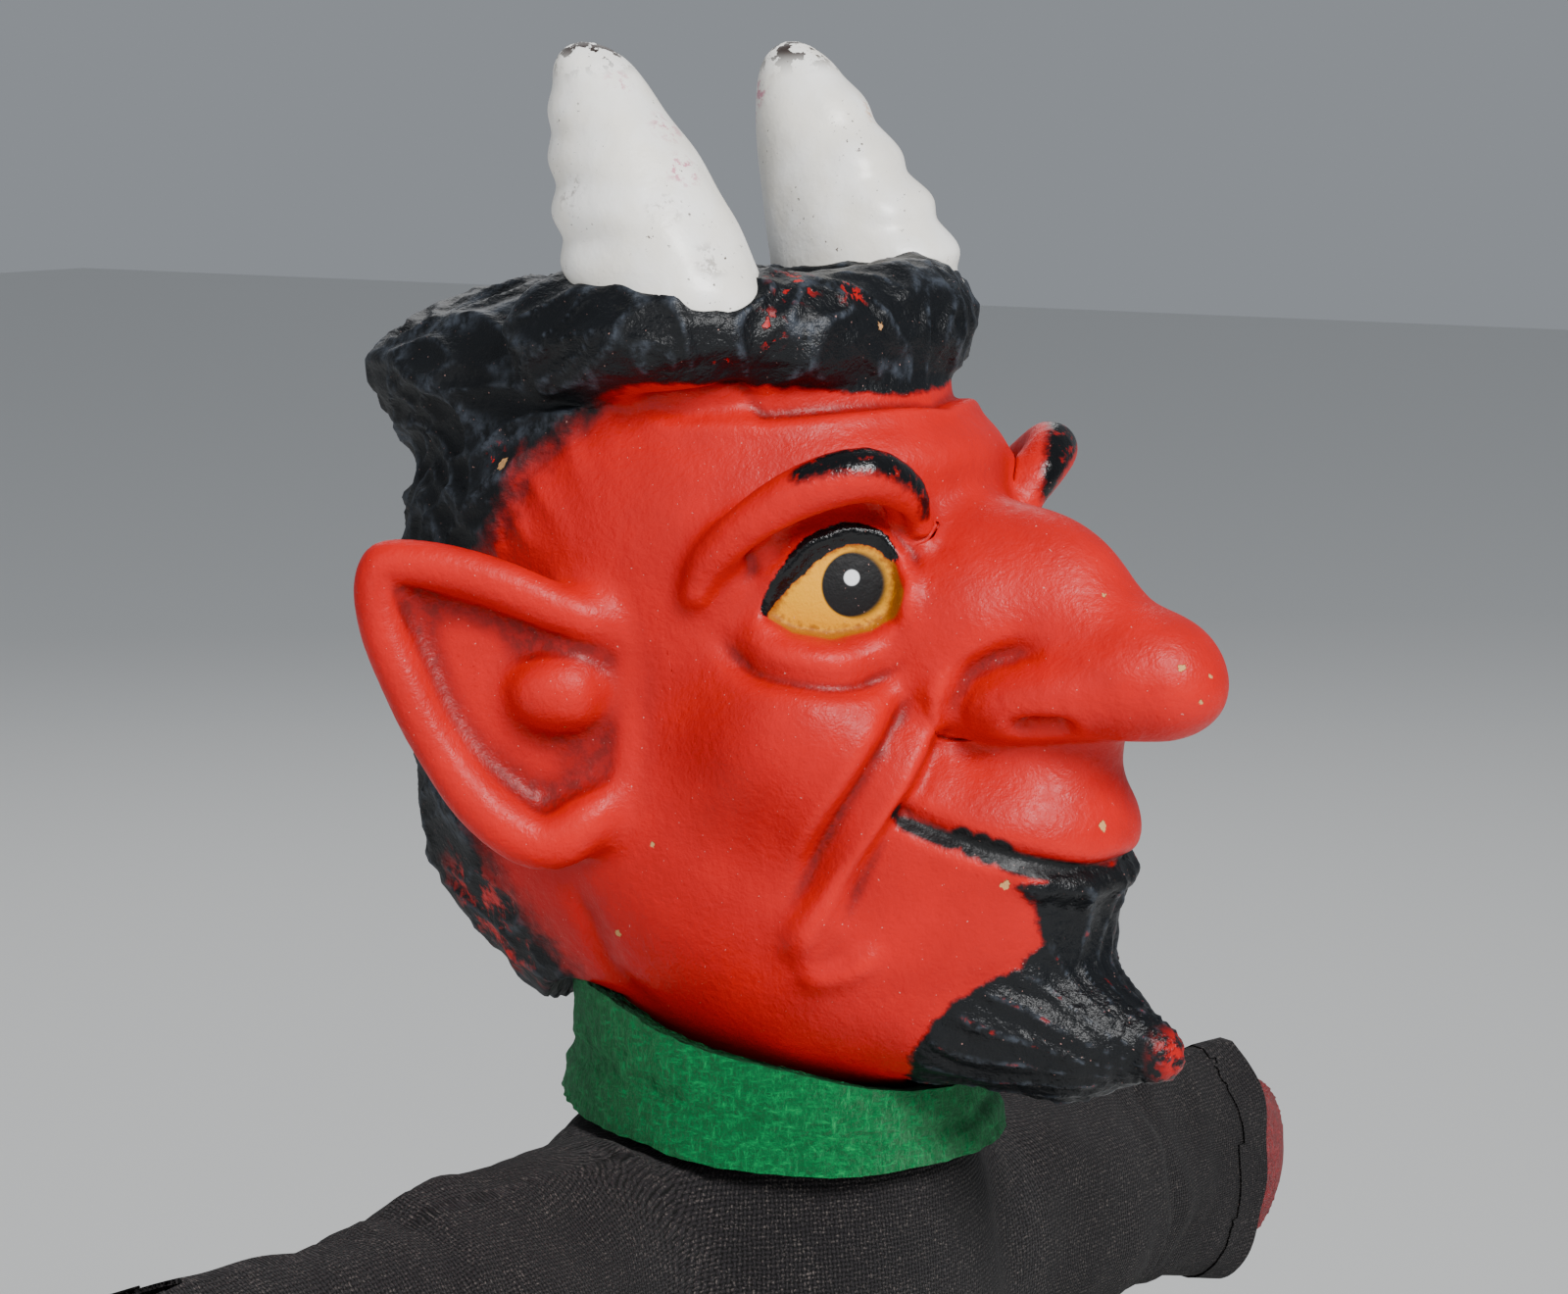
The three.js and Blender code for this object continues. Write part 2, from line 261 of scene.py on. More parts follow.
def polygon(u, v, corners):
    """Signed distance to a closed 2D outline, negative inside."""
    ring = np.array(corners, float)
    best = np.full(len(u), 1e9)
    inside = np.zeros(len(u), bool)
    for (x0, y0), (x1, y1) in zip(ring, np.roll(ring, -1, 0)):
        ex, ey = x1 - x0, y1 - y0
        t = np.clip(((u - x0) * ex + (v - y0) * ey) / (ex * ex + ey * ey), 0, 1)
        best = np.minimum(best, np.hypot(u - x0 - t * ex, v - y0 - t * ey))
        crosses = (y0 > v) != (y1 > v)
        slope = ex / (ey if abs(ey) > 1e-9 else 1e-9)
        inside ^= crosses & (u < x0 + (v - y0) * slope)
    return np.where(inside, -best, best)


# ------------------------------------------------------------------ the head's form

# the head is mirrored, so every lump is given on the puppet's left, +X
# (middle, half sizes, tilt about X, fillet)
SKULL_LUMPS = [
    ((0, 12, 259), (33, 42, 33.5), 0, 1),
    ((0, 10.5, 229), (32, 42.5, 35), 0, 8),
    ((0, 26, 279.5), (28.5, 32.8, 12.6), 0, 6),  # back of the hair
    ((0, -10, 213.2), (26, 31, 22.2), 0, 10),  # jaw
    ((20.5, 3, 287), (14.2, 16, 8.6), 0, 3),  # hair that each horn stands on
]
FACE_LUMPS = [
    ((0, -11, 271), (21, 18, 8), 0, 3),  # forehead
    ((0, -30, 226.5), (17.5, 20.5, 13), 0, 9),  # upper lip
    ((0, -29, 214), (16.5, 16.5, 12), 0, 6),  # chin
    ((19, -17, 239), (12, 12.5, 12), 0, 9),  # cheek
    ((0, -24, 250), (15, 12, 15), 0, 7),  # between the eyes
    ((7.5, -32, 251.5), (8.5, 10, 10.5), 0, 6),
    ((0, -34.2, 257.2), (8.8, 13.5, 9.2), 0, 5),  # nose bridge
    ((0, -44, 251.2), (9.2, 12.5, 8.2), 30, 6),
    ((0, -51, 246.7), (8.9, 12, 6.8), 12, 5),
    ((0, -55.4, 247.2), (7.2, 6.9, 6.7), 0, 4),  # nose tip
    ((0, -39, 237), (9, 9.5, 9), 0, 4),  # under the nose
]
# rounded ridges: ((x, y, z, radius) along each, fillet)
RIDGES = [
    ([(12.6, -28.2, 265, 1.8), (15.8, -28.4, 268.8, 2.9), (21.2, -26.6, 271.2, 3.4), (25.8, -21.6, 269.6, 3.3),
      (28.4, -15.4, 265.6, 2.9), (29.6, -10, 260.6, 2.2), (30, -8, 256.8, 1.2)], 3.4),  # brow
    ([(0, -12.2, 285.6, 8.3), (9, -11, 286, 8.1), (17, -6.5, 286.6, 7.6), (23.5, 3, 287, 7),
      (27, 15, 285.5, 6.2)], 2.5),  # fringe
    ([(10.2, -36.4, 243.4, 3.5), (10.4, -40, 243.6, 4.4), (8.6, -45.8, 244.4, 4.9),
      (4.6, -51.6, 245.7, 5.8)], 2.4),  # nostril wing
    ([(0, -34, 206, 10.5), (0, -45, 202.5, 6.4), (0, -55, 200.6, 3.2)], 5),  # beard
    ([(9, -28, 204.5, 7), (3, -44, 201, 6.3)], 5),
]

EAR_ROOT = (33.5, 5.5, 241)
EAR_SPREAD = math.radians(30)
# outline of the ear, backwards and up from its root
EAR_TURNS = [
    (-9, 10), (3, 16), (11.5, 19.5), (20, 21.3), (26.3, 20.8), (28.8, 16.5), (28.2, 10), (25.5, 3),
    (21.4, -5), (15.5, -12.5), (9.5, -17.3), (4.2, -18.3), (-1, -15.8), (-9, -9),
]
EAR_OUTLINE = rounded(EAR_TURNS)


def ear_axes():
    back = np.array([math.sin(EAR_SPREAD), math.cos(EAR_SPREAD), 0])
    out = np.array([math.cos(EAR_SPREAD), -math.sin(EAR_SPREAD), 0])
    return back, out


def ear_place(points):
    """Backwards, up and outwards from the ear's root."""
    back, out = ear_axes()
    q = points - np.array(EAR_ROOT)
    return q @ back, q[:, 2], q @ out


def ear_field(points):
    u, v, w = ear_place(points)
    w = w - 0.6 + 0.004 * (u - 12) ** 2 + 0.06 * np.maximum(2 - u, 0) ** 2
    outline = polygon(u, v, EAR_OUTLINE)
    sunk = w + 2.4 * smooth(-outline, 2, 8.5)
    leaf = np.hypot(np.maximum(outline + 3, 0), np.maximum(np.abs(sunk) - 0.3, 0)) - 1.5
    rim = np.hypot(outline + 2.8, w - 0.6) - 2.7 - 0.8 * smooth(-v, 4, 14)
    field = blended(leaf, rim, 2.6)
    local = np.stack([w, u, v], 1)
    field = blended(field, ellipsoid(local, (0.2, 3.4, 3), (4.2, 6.4, 4.5)), 3.5)  # bump before the ear hole
    return blended(field, ellipsoid(local, (-6, 12, 1), (5, 9, 12)), 3)  # root behind the bowl


def head_field(points):
    """The whole head as one smooth field."""
    p = mirrored(points)
    field = ellipsoid(p, *SKULL_LUMPS[0][:3])
    for middle, half, tilt, soft in SKULL_LUMPS[1:] + FACE_LUMPS:
        field = blended(field, ellipsoid(p, middle, half, tilt), soft)
    for turns, soft in RIDGES:
        field = blended(field, chain(p, turns), soft)
    near_ear = np.linalg.norm(p - np.array([40, 18, 242]), axis=1) < 40
    ear = np.full(len(p), 50.0)
    ear[near_ear] = ear_field(p[near_ear])
    return blended(field, ear, 3.5)


def settle_on_field(obj, field, rounds=5):
    """Moves every vertex onto the field's surface and evens the mesh along it."""
    edges = edges_of(obj)
    points = points_of(obj)
    step = 0.05
    for _ in range(rounds):
        points = points * 0.6 + averaged(points, edges) * 0.4
        for _ in range(2):
            value = field(points)
            slope = np.stack([(field(points + step * axis) - value) / step for axis in np.eye(3)], 1)
            size = np.maximum((slope**2).sum(1), 0.3)
            move = np.clip(value / size, -1.0, 1.0)
            points = points - slope * move[:, None]
    set_points(obj, points)
    return obj


def ear_blank(side):
    """A flat leaf of the ear's outline, thick enough to remesh, in its place on the head."""
    leaf = bmesh.new()
    rim = [leaf.verts.new((u * MM, v * MM, -1.6 * MM)) for u, v in EAR_OUTLINE]
    face = leaf.faces.new(rim)
    grown = bmesh.ops.extrude_face_region(leaf, geom=[face])
    lifted = [item for item in grown["geom"] if isinstance(item, bmesh.types.BMVert)]
    bmesh.ops.translate(leaf, verts=lifted, vec=(0, 0, 4.4 * MM))
    bmesh.ops.recalc_face_normals(leaf, faces=leaf.faces)
    mesh = bpy.data.meshes.new("ear")
    leaf.to_mesh(mesh)
    leaf.free()
    back, out = ear_axes()
    turn = Matrix((back, (0, 0, 1), out)).transposed().to_4x4()
    mesh.transform(Matrix.Translation(Vector(EAR_ROOT) * MM) @ turn)
    if side < 0:
        mesh.transform(Matrix.Scale(-1, 4, (1, 0, 0)))
        mesh.flip_normals()
    ear = bpy.data.objects.new("ear", mesh)
    bpy.context.collection.objects.link(ear)
    return ear


def head_blank(voxel):
    """Lumps joined and remeshed, then settled on the smooth field."""
    lumps = []
    for middle, half, tilt, _ in SKULL_LUMPS + FACE_LUMPS:
        for side in (1, -1) if middle[0] else (1,):
            lumps.append(ball((middle[0] * side, middle[1], middle[2]), half, tilt))
    for turns, _ in RIDGES:
        for x, y, z, radius in rounded(turns, 3, closed=False):
            for side in (1, -1) if x else (1,):
                lumps.append(ball((x * side, y, z), [radius] * 3, 0, 12, 8))
    lumps += [ear_blank(side) for side in (1, -1)]
    head = remesh(join(lumps, "painted_head"), voxel)
    return settle_on_field(head, head_field)


# ------------------------------------------------------------------ the head's finer modelling


def smooth(value, low, high):
    """0 below low, 1 above high, eased between."""
    t = np.clip((value - low) / (high - low), 0, 1)
    return t * t * (3 - 2 * t)


def waves(points, size, seed, stretch=(1, 1, 1)):
    """A soft random field of about -1 to 1 whose lumps are about size millimetres across."""
    count = 14
    rng = np.random.default_rng(SEED * 1000 + seed)
    total = np.zeros(len(points))
    scaled = points / np.array(stretch)
    for _ in range(count):
        way = rng.normal(size=3)
        way *= rng.uniform(0.6, 1.5) / np.linalg.norm(way)
        total += np.sin(scaled @ way * (math.pi / size) + rng.uniform(0, 2 * math.pi))
    return total / math.sqrt(count / 2) / 1.6


def to_line(points, line):
    """Distance to a polyline, and the place along it from 0 to 1."""
    best = np.full(len(points), 1e9)
    place = np.zeros(len(points))
    lengths = np.linalg.norm(np.diff(line, axis=0), axis=1)
    starts = np.concatenate([[0], np.cumsum(lengths)])
    for a, b, length, start in zip(line, line[1:], lengths, starts):
        t = np.clip((points - a) @ (b - a) / (length * length), 0, 1)
        distance = np.linalg.norm(points - a - t[:, None] * (b - a), axis=1)
        nearer = distance < best
        best = np.where(nearer, distance, best)
        place = np.where(nearer, (start + t * length) / starts[-1], place)
    return best, place


# folds and creases on the puppet's left, snapped to the surface: (turns, height, half width, fade at the ends)
MOUTH = [(20.4, -29.4, 231.4), (17.2, -35.1, 228.4), (14.9, -40.6, 226.3), (11.3, -45.2, 224.6), (5.4, -48.6, 223),
         (0, -51.2, 222.5)]
STROKES = [
    ([(27.2, -12, 257), (26.6, -18, 262.3), (22.8, -23.6, 265.2), (18.4, -27, 264.6), (14.2, -28.4, 261.2),
      (13, -28.8, 256)], -1.0, 1.1, 0.12),  # fold above the lid
    ([(26.5, -12.5, 255), (27.4, -17, 250.6), (24.6, -22.8, 248.9), (19.5, -26.2, 249.4), (15, -28.6, 251.4)],
     1.0, 1.9, 0.2),  # bag under the eye, and the crease below it
    ([(29, -8, 253), (28.8, -15.5, 247.8), (25, -24.2, 246), (18.8, -27.5, 246.8), (13.7, -30.5, 250.4)],
     -1.5, 1.4, 0.25),
    ([(9.7, -33.6, 249.8), (11.8, -32.2, 246.4), (14.8, -31.1, 240.6), (18.6, -30.4, 235.3), (20.9, -27.5, 228.1),
      (22.4, -23.4, 220.6), (24.2, -20.2, 215.1), (24.6, -18.6, 211)], 2.2, 2.4, 0.12),  # fold beside the mouth
    ([(12.4, -33.2, 243.5), (13.6, -32.8, 240), (16, -31.6, 235), (19.2, -29.4, 229.5), (20.8, -26, 222.5),
      (21.8, -23.6, 216)], -1.6, 1.5, 0.2),
    ([(13, -31, 248), (17.6, -29.9, 242.8), (21.8, -28.2, 237.6), (24, -25.6, 231.6), (25.4, -21.8, 223.5),
      (26.8, -18.6, 216.8)], -1.3, 1.5, 0.25),
    ([(17.5, -29.5, 246.4), (22, -28.6, 241.3), (25.6, -26, 235.2), (27, -22.6, 229), (27.8, -19.4, 222)],
     0.8, 2.0, 0.3),
    ([(24.6, -18, 210.6), (23.4, -22.1, 210.2), (21.2, -25.8, 211.6), (19.2, -28.8, 214.6)],
     1.2, 1.7, 0.3),  # hook at its foot
    (MOUTH, -1.7, 1.25, 0.08),
    ([(14, -43, 223.3), (10.5, -46, 221.6), (5.4, -49, 220.4), (0, -51, 220)], 0.9, 1.5, 0.3),  # lower lip
    ([(11.8, -41, 242.2), (10.6, -45.4, 242.4), (8.8, -49.5, 242.6)], -3.8, 1.7, 0.35),  # nostril
    ([(7.4, -46, 249.2), (9.6, -41, 249.8), (11.4, -37.4, 248.8), (12.3, -35.6, 246.4), (12.6, -34.8, 243.2),
      (12.6, -36, 240.2)], -1.5, 1.5, 0.3),  # round the wing
    ([(27.5, 4, 279.8), (27.2, -3, 278.9), (22, -12.4, 279.2), (12.1, -18.8, 278.6), (0, -22.5, 277.6)],
     -1.1, 1.1, 0.1),  # step under the fringe
    ([(27.5, 4, 277.6), (27.2, -3, 276.8), (22, -12.8, 277), (12.1, -19.6, 276.4), (0, -23.5, 275.4)],
     0.65, 1.4, 0.1),
    ([(9.5, -28, 257), (8.8, -28.6, 261), (9.5, -27, 266)], -0.5, 1.7, 0.4),  # beside the brow's inner end
    ([(32, 12, 222), (30.5, 9, 214), (26.5, 7, 206.5), (22, 0, 202)], -0.9, 2.0, 0.3),  # along the jaw
]
EYE_MIDDLE = np.array([19.6, -22.3, 257.3])
EYE_ALONG = np.array([-0.67, -0.742, 0])
EYE_OUT = np.array([0.742, -0.67, 0])
EYE_REACH, EYE_DEEP = 16, 9  # how far over the face and through it the eye's outline counts
EYE_OUTLINE = [
    (-9.1, -3.5), (-7.1, 0.2), (-3.6, 4.2), (0.5, 5.7), (4.2, 5.2), (6.4, 2.8), (7.0, -0.2), (6.2, -3.5), (3.4, -5.2),
    (-1.4, -6.1), (-6.1, -5.3),
]
PUPIL = (1.5, 0.3)
GLINT = (1.1, 1.2)
LID = [(25.6, -15.4, 254.6), (24.2, -18, 259.4), (21.6, -21.8, 262.9), (18.2, -25, 263.4), (14.8, -27, 261)]
BROW_PAINT = [(28, -21.8, 271.6), (24.6, -26.6, 274.2), (19.4, -30.8, 273.8), (15.4, -32.2, 270.4), (13.4, -32.2, 266)]
# the hair's edge and the beard's edge, seen from the side: (y, z), and (distance back from the beard's tip, z)
HAIR_EDGE = [
    (-40, 279), (-21, 279.5), (-15.5, 280.6), (-5, 281.8), (1, 281.4), (5.5, 279.6), (9, 276.4), (11.5, 273.4),
    (15.5, 271.2), (17.5, 266), (21, 260), (26, 255.5), (31, 251), (32, 243), (29, 230), (23, 218), (17, 210),
    (13, 203), (12, 170), (90, 170), (90, 320), (-40, 320),
]
BEARD_EDGE = [
    (-9, 222.8), (14, 223.2), (21.6, 222), (19, 219), (18, 214.8), (20.6, 211.6), (26.5, 208.8), (31, 205),
    (33.5, 200.5), (34, 180), (-9, 180),
]
BEARD_TIP = np.array([0, -60, 199.5])
BEARD_BACK = -20  # y past which no beard grows
EAR_DEEP = 8  # how far through the head's side the ear's outline counts
FAR_OUT = -20.0  # stands for any place well outside an outline
COLLAR_R = (25.1, 27.2)  # inside and outside of the felt
COLLAR_FOOT = (186.2, 0.1)  # height of the collar's lower edge at the middle, and its rise towards the back
COLLAR_TOP = (201.6, 0.33, 205.2)  # the same for the upper edge, and its greatest height


def collar_top(y):
    """Height of the collar's upper edge, easing over to its greatest height."""
    level, rise, highest = COLLAR_TOP
    return highest - np.logaddexp(0, highest - level - rise * np.asarray(y))


def snapped(turns, surface):
    """A smooth line through the turns, laid on the surface."""
    line = []
    for point in rounded(turns, 5, closed=False):
        place = surface.find_nearest(Vector(point))[0]
        line.append(place if place else point)
    return np.array(line)


def head_masks(points):
    """Signed distances in millimetres, inside positive, for the hair, the beard and the ear."""
    p = mirrored(points)
    hair = -polygon(p[:, 1], p[:, 2], HAIR_EDGE)
    back = 0.6 * p[:, 0] + 0.8 * (p[:, 1] - BEARD_TIP[1])
    beard = np.where(p[:, 1] < BEARD_BACK, -polygon(back, p[:, 2], BEARD_EDGE), FAR_OUT)
    u, v, w = ear_place(p)
    ear = np.where(np.abs(w) < EAR_DEEP, -polygon(u, v, EAR_OUTLINE), FAR_OUT)
    return hair, beard, ear


def eye_frame(points):
    """Places along, up and out from the eye's middle, which are near it, and how far inside its outline they lie."""
    gap = mirrored(points) - EYE_MIDDLE
    along, up, out = gap @ EYE_ALONG, gap[:, 2], gap @ EYE_OUT
    near = (np.hypot(along, up) < EYE_REACH) & (np.abs(out) < EYE_DEEP)
    rim = np.full(len(points), FAR_OUT)
    rim[near] = -polygon(along[near], up[near], EYE_OUTLINE)
    return along, up, out, near, rim


def shape_head(obj):
    """Pushes the folds, the eyes, the hair and the beard into the blank; returns 1 on the hair's crests, 0 off them."""
    points = points_of(obj)
    normals = normals_of(obj)
    left = mirrored(points)
    surface = surface_of(obj)
    height = np.zeros(len(points))
    for turns, size, wide, fade in STROKES:
        reach, place = to_line(left, snapped(turns, surface))
        ends = smooth(place, -0.01, fade)
        if turns[-1][0]:
            ends *= smooth(1 - place, -0.01, fade)
        height += size * np.exp(-((reach / wide) ** 2)) * ends
    # lids stand round the eye, and the eye itself bulges inside them
    a, b, out, near, rim = eye_frame(points)
    upper = smooth(b + 0.25 * a, -3.5, 0.5)
    height += near * np.exp(-(((rim + 1.1) / 1.15) ** 2)) * (0.35 + 1.25 * upper)
    points += normals * height[:, None]
    bulge = -1.1 + 1.5 * (1 - (a * a + b * b * 1.6) / 70)
    sunk = smooth(rim, -0.55, 0.35) * near
    sides = np.ones_like(points)
    sides[:, 0] = np.sign(points[:, 0])
    points += sides * EYE_OUT * (sunk * (bulge - out))[:, None]
    # hair
    hair, beard, ear = head_masks(points)
    edges = edges_of(obj)
    in_hair = smooth(hair, -0.5, 2.5) * smooth(-ear, 0, 2)
    bend = np.stack([waves(points, 17, 1), waves(points, 17, 2), waves(points, 17, 3)], 1) * 4.5
    swirl = points + bend
    fringe = smooth(-points[:, 1], -20, -8) * smooth(points[:, 2], 276, 282)
    broad = crests(waves(swirl, 8.5, 4, (1, 1.7, 0.85)), 1.25)
    second = crests(waves(swirl, 3.9, 5, (1, 2.0, 0.8)), 1.4)
    fine = crests(waves(points + 0.4 * bend, 2.4, 6, (2.2, 2.2, 1)), 1.3)
    lump = waves(points, 13, 7)
    comb_along = points @ np.array([0, 0.83, -0.55])
    comb = crests(np.sin(comb_along / 1.55 + 0.8 * waves(points, 9, 8)))
    temple = smooth(hair, -13, 1) * smooth(-hair, -6, 1) * smooth(points[:, 1], 2, 12) * smooth(points[:, 2], 240, 262)
    wavy = (1 - fringe) * (broad**1.5 + 1.15 * second**1.5 + 0.9 * lump)
    wavy += fringe * (0.8 * second + 0.5 * fine + 0.7 * lump)
    low = smooth(-points[:, 2], -240, -222)
    wave_height = in_hair * wavy * (1 - 0.45 * low) + 0.75 * temple * comb * smooth(-ear, 0.5, 3)
    # beard, combed from the lip and the jaw to the tip
    away = points - BEARD_TIP
    around = np.arctan2(away[:, 0], away[:, 2] - 0.3 * away[:, 1] + 3)
    strand = crests(np.sin(around * 11 + 1.3 * waves(points, 8, 9)))
    lock = crests(np.sin(around * 21 + 2.0 * waves(points, 6, 10)))
    in_beard = smooth(beard, -0.4, 2.2)
    wave_height += in_beard * (0.7 * strand + 0.55 * lock + 0.1)
    set_points(obj, points)
    points = points_of(obj) + normals_of(obj) * wave_height[:, None]
    for _ in range(2):
        points = points * 0.7 + averaged(points, edges) * 0.3
    # flat over the collar
    floor = collar_top(points[:, 1]) + 0.2
    reach = np.hypot(points[:, 0], points[:, 1])
    over = smooth(COLLAR_R[1] + 4 - reach, 0, 3.5) * smooth(reach, COLLAR_R[0] - 1.2, COLLAR_R[0] - 0.2)
    points[:, 2] += over * (points[:, 2] < 225) * np.maximum(floor - points[:, 2], 0)
    set_points(obj, points)
    ridge = np.maximum(broad**2, 0.8 * second**2)
    crest = np.clip(ridge * in_hair * (1 - fringe) + fringe * in_hair * second**2, 0, 1)
    return np.maximum(crest, in_beard * strand**2)


def crests(field, sharpness=1.0):
    """1 where a field is 0, falling off to 0 on both sides."""
    return np.clip(1 - np.abs(field) * sharpness, 0, 1)


def hollows(obj, rounds=6):
    """How far each vertex lies below, positive, or above its smoothed surroundings, in millimetres."""
    edges = edges_of(obj)
    points = points_of(obj)
    even = points
    for _ in range(rounds):
        even = averaged(even, edges)
    return ((even - points) * normals_of(obj)).sum(1)


def paint_head(obj, crest):
    """Stores on the vertices what the paint follows."""
    points = points_of(obj)
    left = mirrored(points)
    surface = surface_of(obj)
    hair, beard, ear = head_masks(points)
    set_attribute(obj, "hair", np.where(ear > -0.5, -np.abs(ear) - 3, hair))
    soft = smooth(points[:, 1], 0, 16) * smooth(-points[:, 2], -290, -274)
    set_attribute(obj, "airbrush", soft)
    set_attribute(obj, "beard", beard)
    a, b, _, near, rim = eye_frame(points)
    set_attribute(obj, "eye", rim)
    set_attribute(obj, "eye_u", a)
    set_attribute(obj, "eye_v", b)
    lid, along = to_line(left, snapped(LID, surface))
    lid_wide = 1.6 * (0.5 + 0.6 * np.sin(math.pi * np.clip(along, 0, 1)))
    set_attribute(obj, "lid", np.where(near, lid_wide - lid, FAR_OUT))
    brow, along = to_line(left, snapped(BROW_PAINT, surface))
    set_attribute(obj, "brow", 2.6 * (0.25 + 0.75 * np.sin(math.pi * np.clip(along * 0.8 + 0.1, 0, 1))) - brow)
    mouth, along = to_line(left, snapped(MOUTH, surface))
    set_attribute(obj, "mouth", 0.95 + 0.7 * along - mouth)
    set_attribute(obj, "crest", crest)
    set_attribute(obj, "hollow", hollows(obj))


# ------------------------------------------------------------------ materials


def tint(red, green, blue):
    """Linear colour from display values of 0 to 255."""
    return [((c / 255 + 0.055) / 1.055) ** 2.4 if c > 10 else c / 255 / 12.92 for c in (red, green, blue)] + [1]


class Surface:
    """A small hand for writing a node tree: every method gives a socket back."""

    def __init__(self, name):
        self.material = bpy.data.materials.new(name)
        self.material.use_nodes = True
        self.tree = self.material.node_tree
        self.shader = self.tree.nodes["Principled BSDF"]
        self.place = self.tree.nodes.new("ShaderNodeTexCoord").outputs["Object"]

    def feed(self, socket, value):
        if isinstance(value, bpy.types.NodeSocket):
            self.tree.links.new(value, socket)
        else:
            socket.default_value = value if isinstance(value, (int, float)) else list(value)

    def node(self, kind, **inputs):
        node = self.tree.nodes.new(kind)
        for name, value in inputs.items():
            self.feed(node.inputs[name.replace("_", " ")], value)
        return node

    def math(self, operation, a, b=0.0, c=None):
        node = self.tree.nodes.new("ShaderNodeMath")
        node.operation = operation
        self.feed(node.inputs[0], a)
        self.feed(node.inputs[1], b)
        if c is not None:
            self.feed(node.inputs[2], c)
        return node.outputs[0]

    def times(self, a, b):
        return self.math("MULTIPLY", a, b)

    def plus(self, a, b):
        return self.math("ADD", a, b)

    def minus(self, a, b):
        return self.math("SUBTRACT", a, b)

    def most(self, a, b):
        return self.math("MAXIMUM", a, b)

    def stored(self, name):
        node = self.tree.nodes.new("ShaderNodeAttribute")
        node.attribute_name = name
        return node.outputs["Fac"]

    def noise(self, size, detail=2.0, roughness=0.5, place=None, stretch=(1, 1, 1)):
        """Noise of 0 to 1 with grains about size millimetres across."""
        mapping = self.tree.nodes.new("ShaderNodeMapping")
        mapping.inputs["Scale"].default_value = [1 / each for each in stretch]
        self.feed(mapping.inputs["Vector"], place or self.place)
        node = self.node(
            "ShaderNodeTexNoise", Vector=mapping.outputs[0], Scale=1 / (size * MM), Detail=detail, Roughness=roughness
        )
        return node.outputs["Fac"]

    def ease(self, value, low, high, start=0.0, end=1.0):
        node = self.tree.nodes.new("ShaderNodeMapRange")
        node.interpolation_type = "SMOOTHSTEP"
        for socket, given in zip(node.inputs, (value, low, high, start, end)):
            self.feed(socket, given)
        return node.outputs[0]

    def mix(self, share, a, b):
        node = self.tree.nodes.new("ShaderNodeMix")
        node.data_type = "RGBA"
        self.feed(node.inputs["Factor"], share)
        self.feed(node.inputs[6], a)
        self.feed(node.inputs[7], b)
        return node.outputs[2]

    def blend(self, share, a, b):
        node = self.tree.nodes.new("ShaderNodeMix")
        for socket, given in zip((node.inputs[0], node.inputs[2], node.inputs[3]), (share, a, b)):
            self.feed(socket, given)
        return node.outputs[0]

    def gap(self, point):
        """Distance in millimetres from a point given in millimetres."""
        node = self.tree.nodes.new("ShaderNodeVectorMath")
        node.operation = "DISTANCE"
        self.feed(node.inputs[0], self.place)
        node.inputs[1].default_value = Vector(point) * MM
        return self.math("DIVIDE", node.outputs["Value"], MM)

    def bump(self, height, depth, normal=None):
        """Height of 0 to 1 standing depth millimetres."""
        node = self.tree.nodes.new("ShaderNodeBump")
        node.inputs["Strength"].default_value = 1
        node.inputs["Distance"].default_value = depth * MM
        self.feed(node.inputs["Height"], height)
        if normal:
            self.feed(node.inputs["Normal"], normal)
        return node.outputs[0]

    def finish(self, color, roughness, normal=None, **inputs):
        self.feed(self.shader.inputs["Base Color"], color)
        self.feed(self.shader.inputs["Roughness"], roughness)
        if normal:
            self.feed(self.shader.inputs["Normal"], normal)
        for name, value in inputs.items():
            self.feed(self.shader.inputs[name.replace("_", " ")], value)
        return self.material


# places where the paint is chipped down to the cream vinyl, on the puppet's right: (point, radius)
CHIPS = [
    ((-31.1, -2.7, 251.6), 0.62), ((-32.1, -2.2, 243), 0.8), ((-4.1, -49.5, 256.4), 0.55), ((-4.8, -60.8, 248.9), 0.5),
    ((-1.6, -63, 247.7), 0.25), ((-3.1, -62.1, 244.9), 0.55), ((-3.8, -49.6, 228.6), 0.6),
    ((-13.4, -41.7, 222.1), 0.62), ((-36.8, 6.6, 239.5), 0.35), ((-29, 4.9, 213.1), 0.5), ((-30.7, -1.8, 225.3), 0.35),
    ((-31.6, 20.1, 270.8), 0.85), ((-21, -18, 212), 0.4), ((-7, -19.5, 288), 0.5),
]
# places where the black is worn off the fringe, down to the red
WORN = [
    ((-16, -12, 292), 4.4), ((-21, -12, 288), 3.4), ((-10, -16, 291), 3.4), ((-26, -9, 285), 2),
    ((-30, 22, 271.5), 2.2),
]


